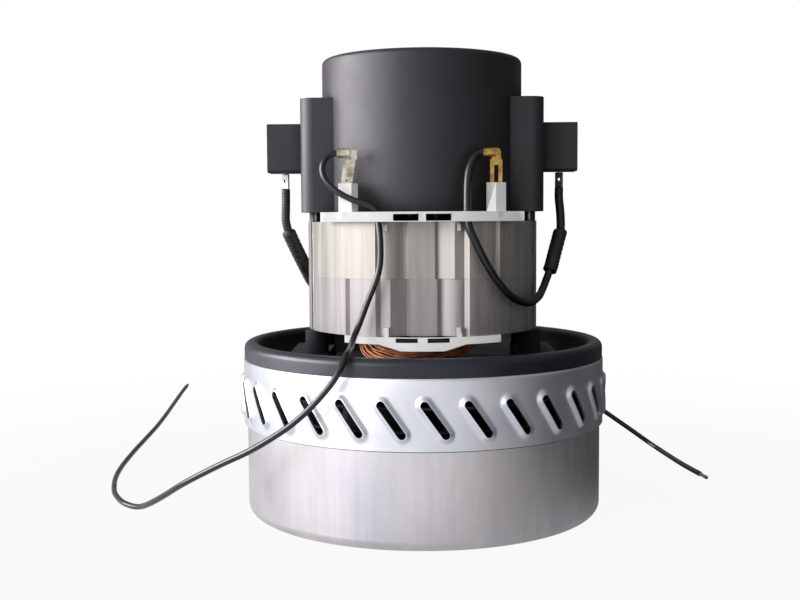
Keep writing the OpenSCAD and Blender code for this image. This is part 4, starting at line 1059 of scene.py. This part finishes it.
def floor():
    """A pale card under the object, white to the eye apart from the object's shadow."""
    corners = [
        (x * FLOOR_HALF, y * FLOOR_HALF, -FLOOR_DROP)
        for x, y in ((-1, -1), (1, -1), (1, 1), (-1, 1))
    ]
    mesh = mesh_of("floor", corners, [(0, 1, 2, 3)], smooth=False)
    f = Finish("floor_card", Roughness=0.9, Base_Color=rgb(190, 190, 192))
    around = Surround(f.tree, f.place(FLOOR_FALL))
    glow = f.node("ShaderNodeEmission", {"Strength": around.white}, {"Color": (1, 1, 1, 1)})
    far = f.node("ShaderNodeVectorMath", {0: f.place()}, operation="LENGTH").outputs["Value"]
    level = f.spread(far, FLOOR_GLOW, 1.0, FLOOR_GLOW_RISE)
    share = around.math("MULTIPLY", around.seen, level)
    mix = f.node("ShaderNodeMixShader", {0: share, 1: f.shader.outputs[0], 2: glow.outputs[0]})
    f.tree.links.new(mix.outputs[0], f.tree.nodes["Material Output"].inputs["Surface"])
    card = bpy.data.objects.new("floor", mesh)
    mesh.materials.append(f.material)
    bpy.context.scene.collection.objects.link(card)


def lamp(name, place, size, power, colour=(1, 1, 1)):
    """A rectangular lamp that points at the object's middle."""
    data = bpy.data.lights.new(name, "AREA")
    data.shape = "RECTANGLE"
    data.size, data.size_y = size
    data.energy = power
    data.color = colour
    made = bpy.data.objects.new(name, data)
    made.location = place
    made.rotation_euler = (LAMP_AIM - Vector(place)).to_track_quat("-Z", "Y").to_euler()
    bpy.context.scene.collection.objects.link(made)
    return made


def light_only(made, things):
    """Keep a lamp's light on the given pieces."""
    made.light_linking.receiver_collection = bpy.data.collections.new(made.name + "_only")
    for thing in things:
        made.light_linking.receiver_collection.objects.link(thing)


# Dark mouldings and wires get a light of their own, which would only glare on the metal,
# and the white coil guides one that reaches their side away from the key
GUIDES = [NODES[node] for node, finish in NODE_FINISH.items() if finish == "nylon"]
PLASTICS = [NODES[node] for node, finish in NODE_FINISH.items() if finish in ("cap", "rim")]
PLASTICS += [
    bpy.data.objects[name] for name in (
        "supply_lead_front", "supply_lead_rear", "brush_wire_right", "brush_wire_left",
        "brush_sleeve_right", "brush_sleeve_left",
    )
]


def studio():
    """White surround for the eye; soft light that comes mostly from the left."""
    world = bpy.data.worlds.new("studio")
    bpy.context.scene.world = world
    world.use_nodes = True
    tree = world.node_tree
    tree.nodes.clear()
    way = tree.nodes.new("ShaderNodeTexCoord").outputs["Generated"]
    around = Surround(tree, way)
    ambient = around.math("MULTIPLY", around.fall, AMBIENT)
    unseen = around.math("SUBTRACT", 1.0, around.seen)
    strength = around.math(
        "ADD", around.math("MULTIPLY", around.white, around.seen),
        around.math("MULTIPLY", ambient, unseen),
    )
    back = tree.nodes.new("ShaderNodeBackground")
    back.inputs["Color"].default_value = (1, 1, 1, 1)
    tree.links.new(strength, back.inputs["Strength"])
    out = tree.nodes.new("ShaderNodeOutputWorld")
    tree.links.new(back.outputs[0], out.inputs["Surface"])
    lamp(
        "key", place=(-1.27, -0.59, 0.46), size=(1.9, 0.9), power=22, colour=(1.0, 0.985, 0.985)
    )
    sheen = lamp(
        "sheen", place=(-1.4, -0.06, 0.4), size=(1.3, 0.8), power=28, colour=(0.98, 0.94, 1.0)
    )
    light_only(sheen, PLASTICS)
    fill = lamp("fill", place=(0.25, -1.4, 0.45), size=(1.0, 0.8), power=9)
    light_only(fill, GUIDES)


def camera():
    """The view from the front, a little above the middle."""
    data = bpy.data.cameras.new("camera")
    data.sensor_width = CAMERA_SENSOR
    data.lens = CAMERA_LENS
    made = bpy.data.objects.new("camera", data)
    turn = (
        Matrix.Rotation(CAMERA_YAW, 4, "Z")
        @ Matrix.Rotation(CAMERA_PITCH, 4, "X")
        @ Matrix.Rotation(CAMERA_ROLL, 4, "Z")
    )
    made.matrix_world = Matrix.Translation(CAMERA_PLACE) @ turn
    bpy.context.scene.collection.objects.link(made)
    bpy.context.scene.camera = made


floor()
studio()
camera()
bpy.context.scene.view_settings.view_transform = "Standard"
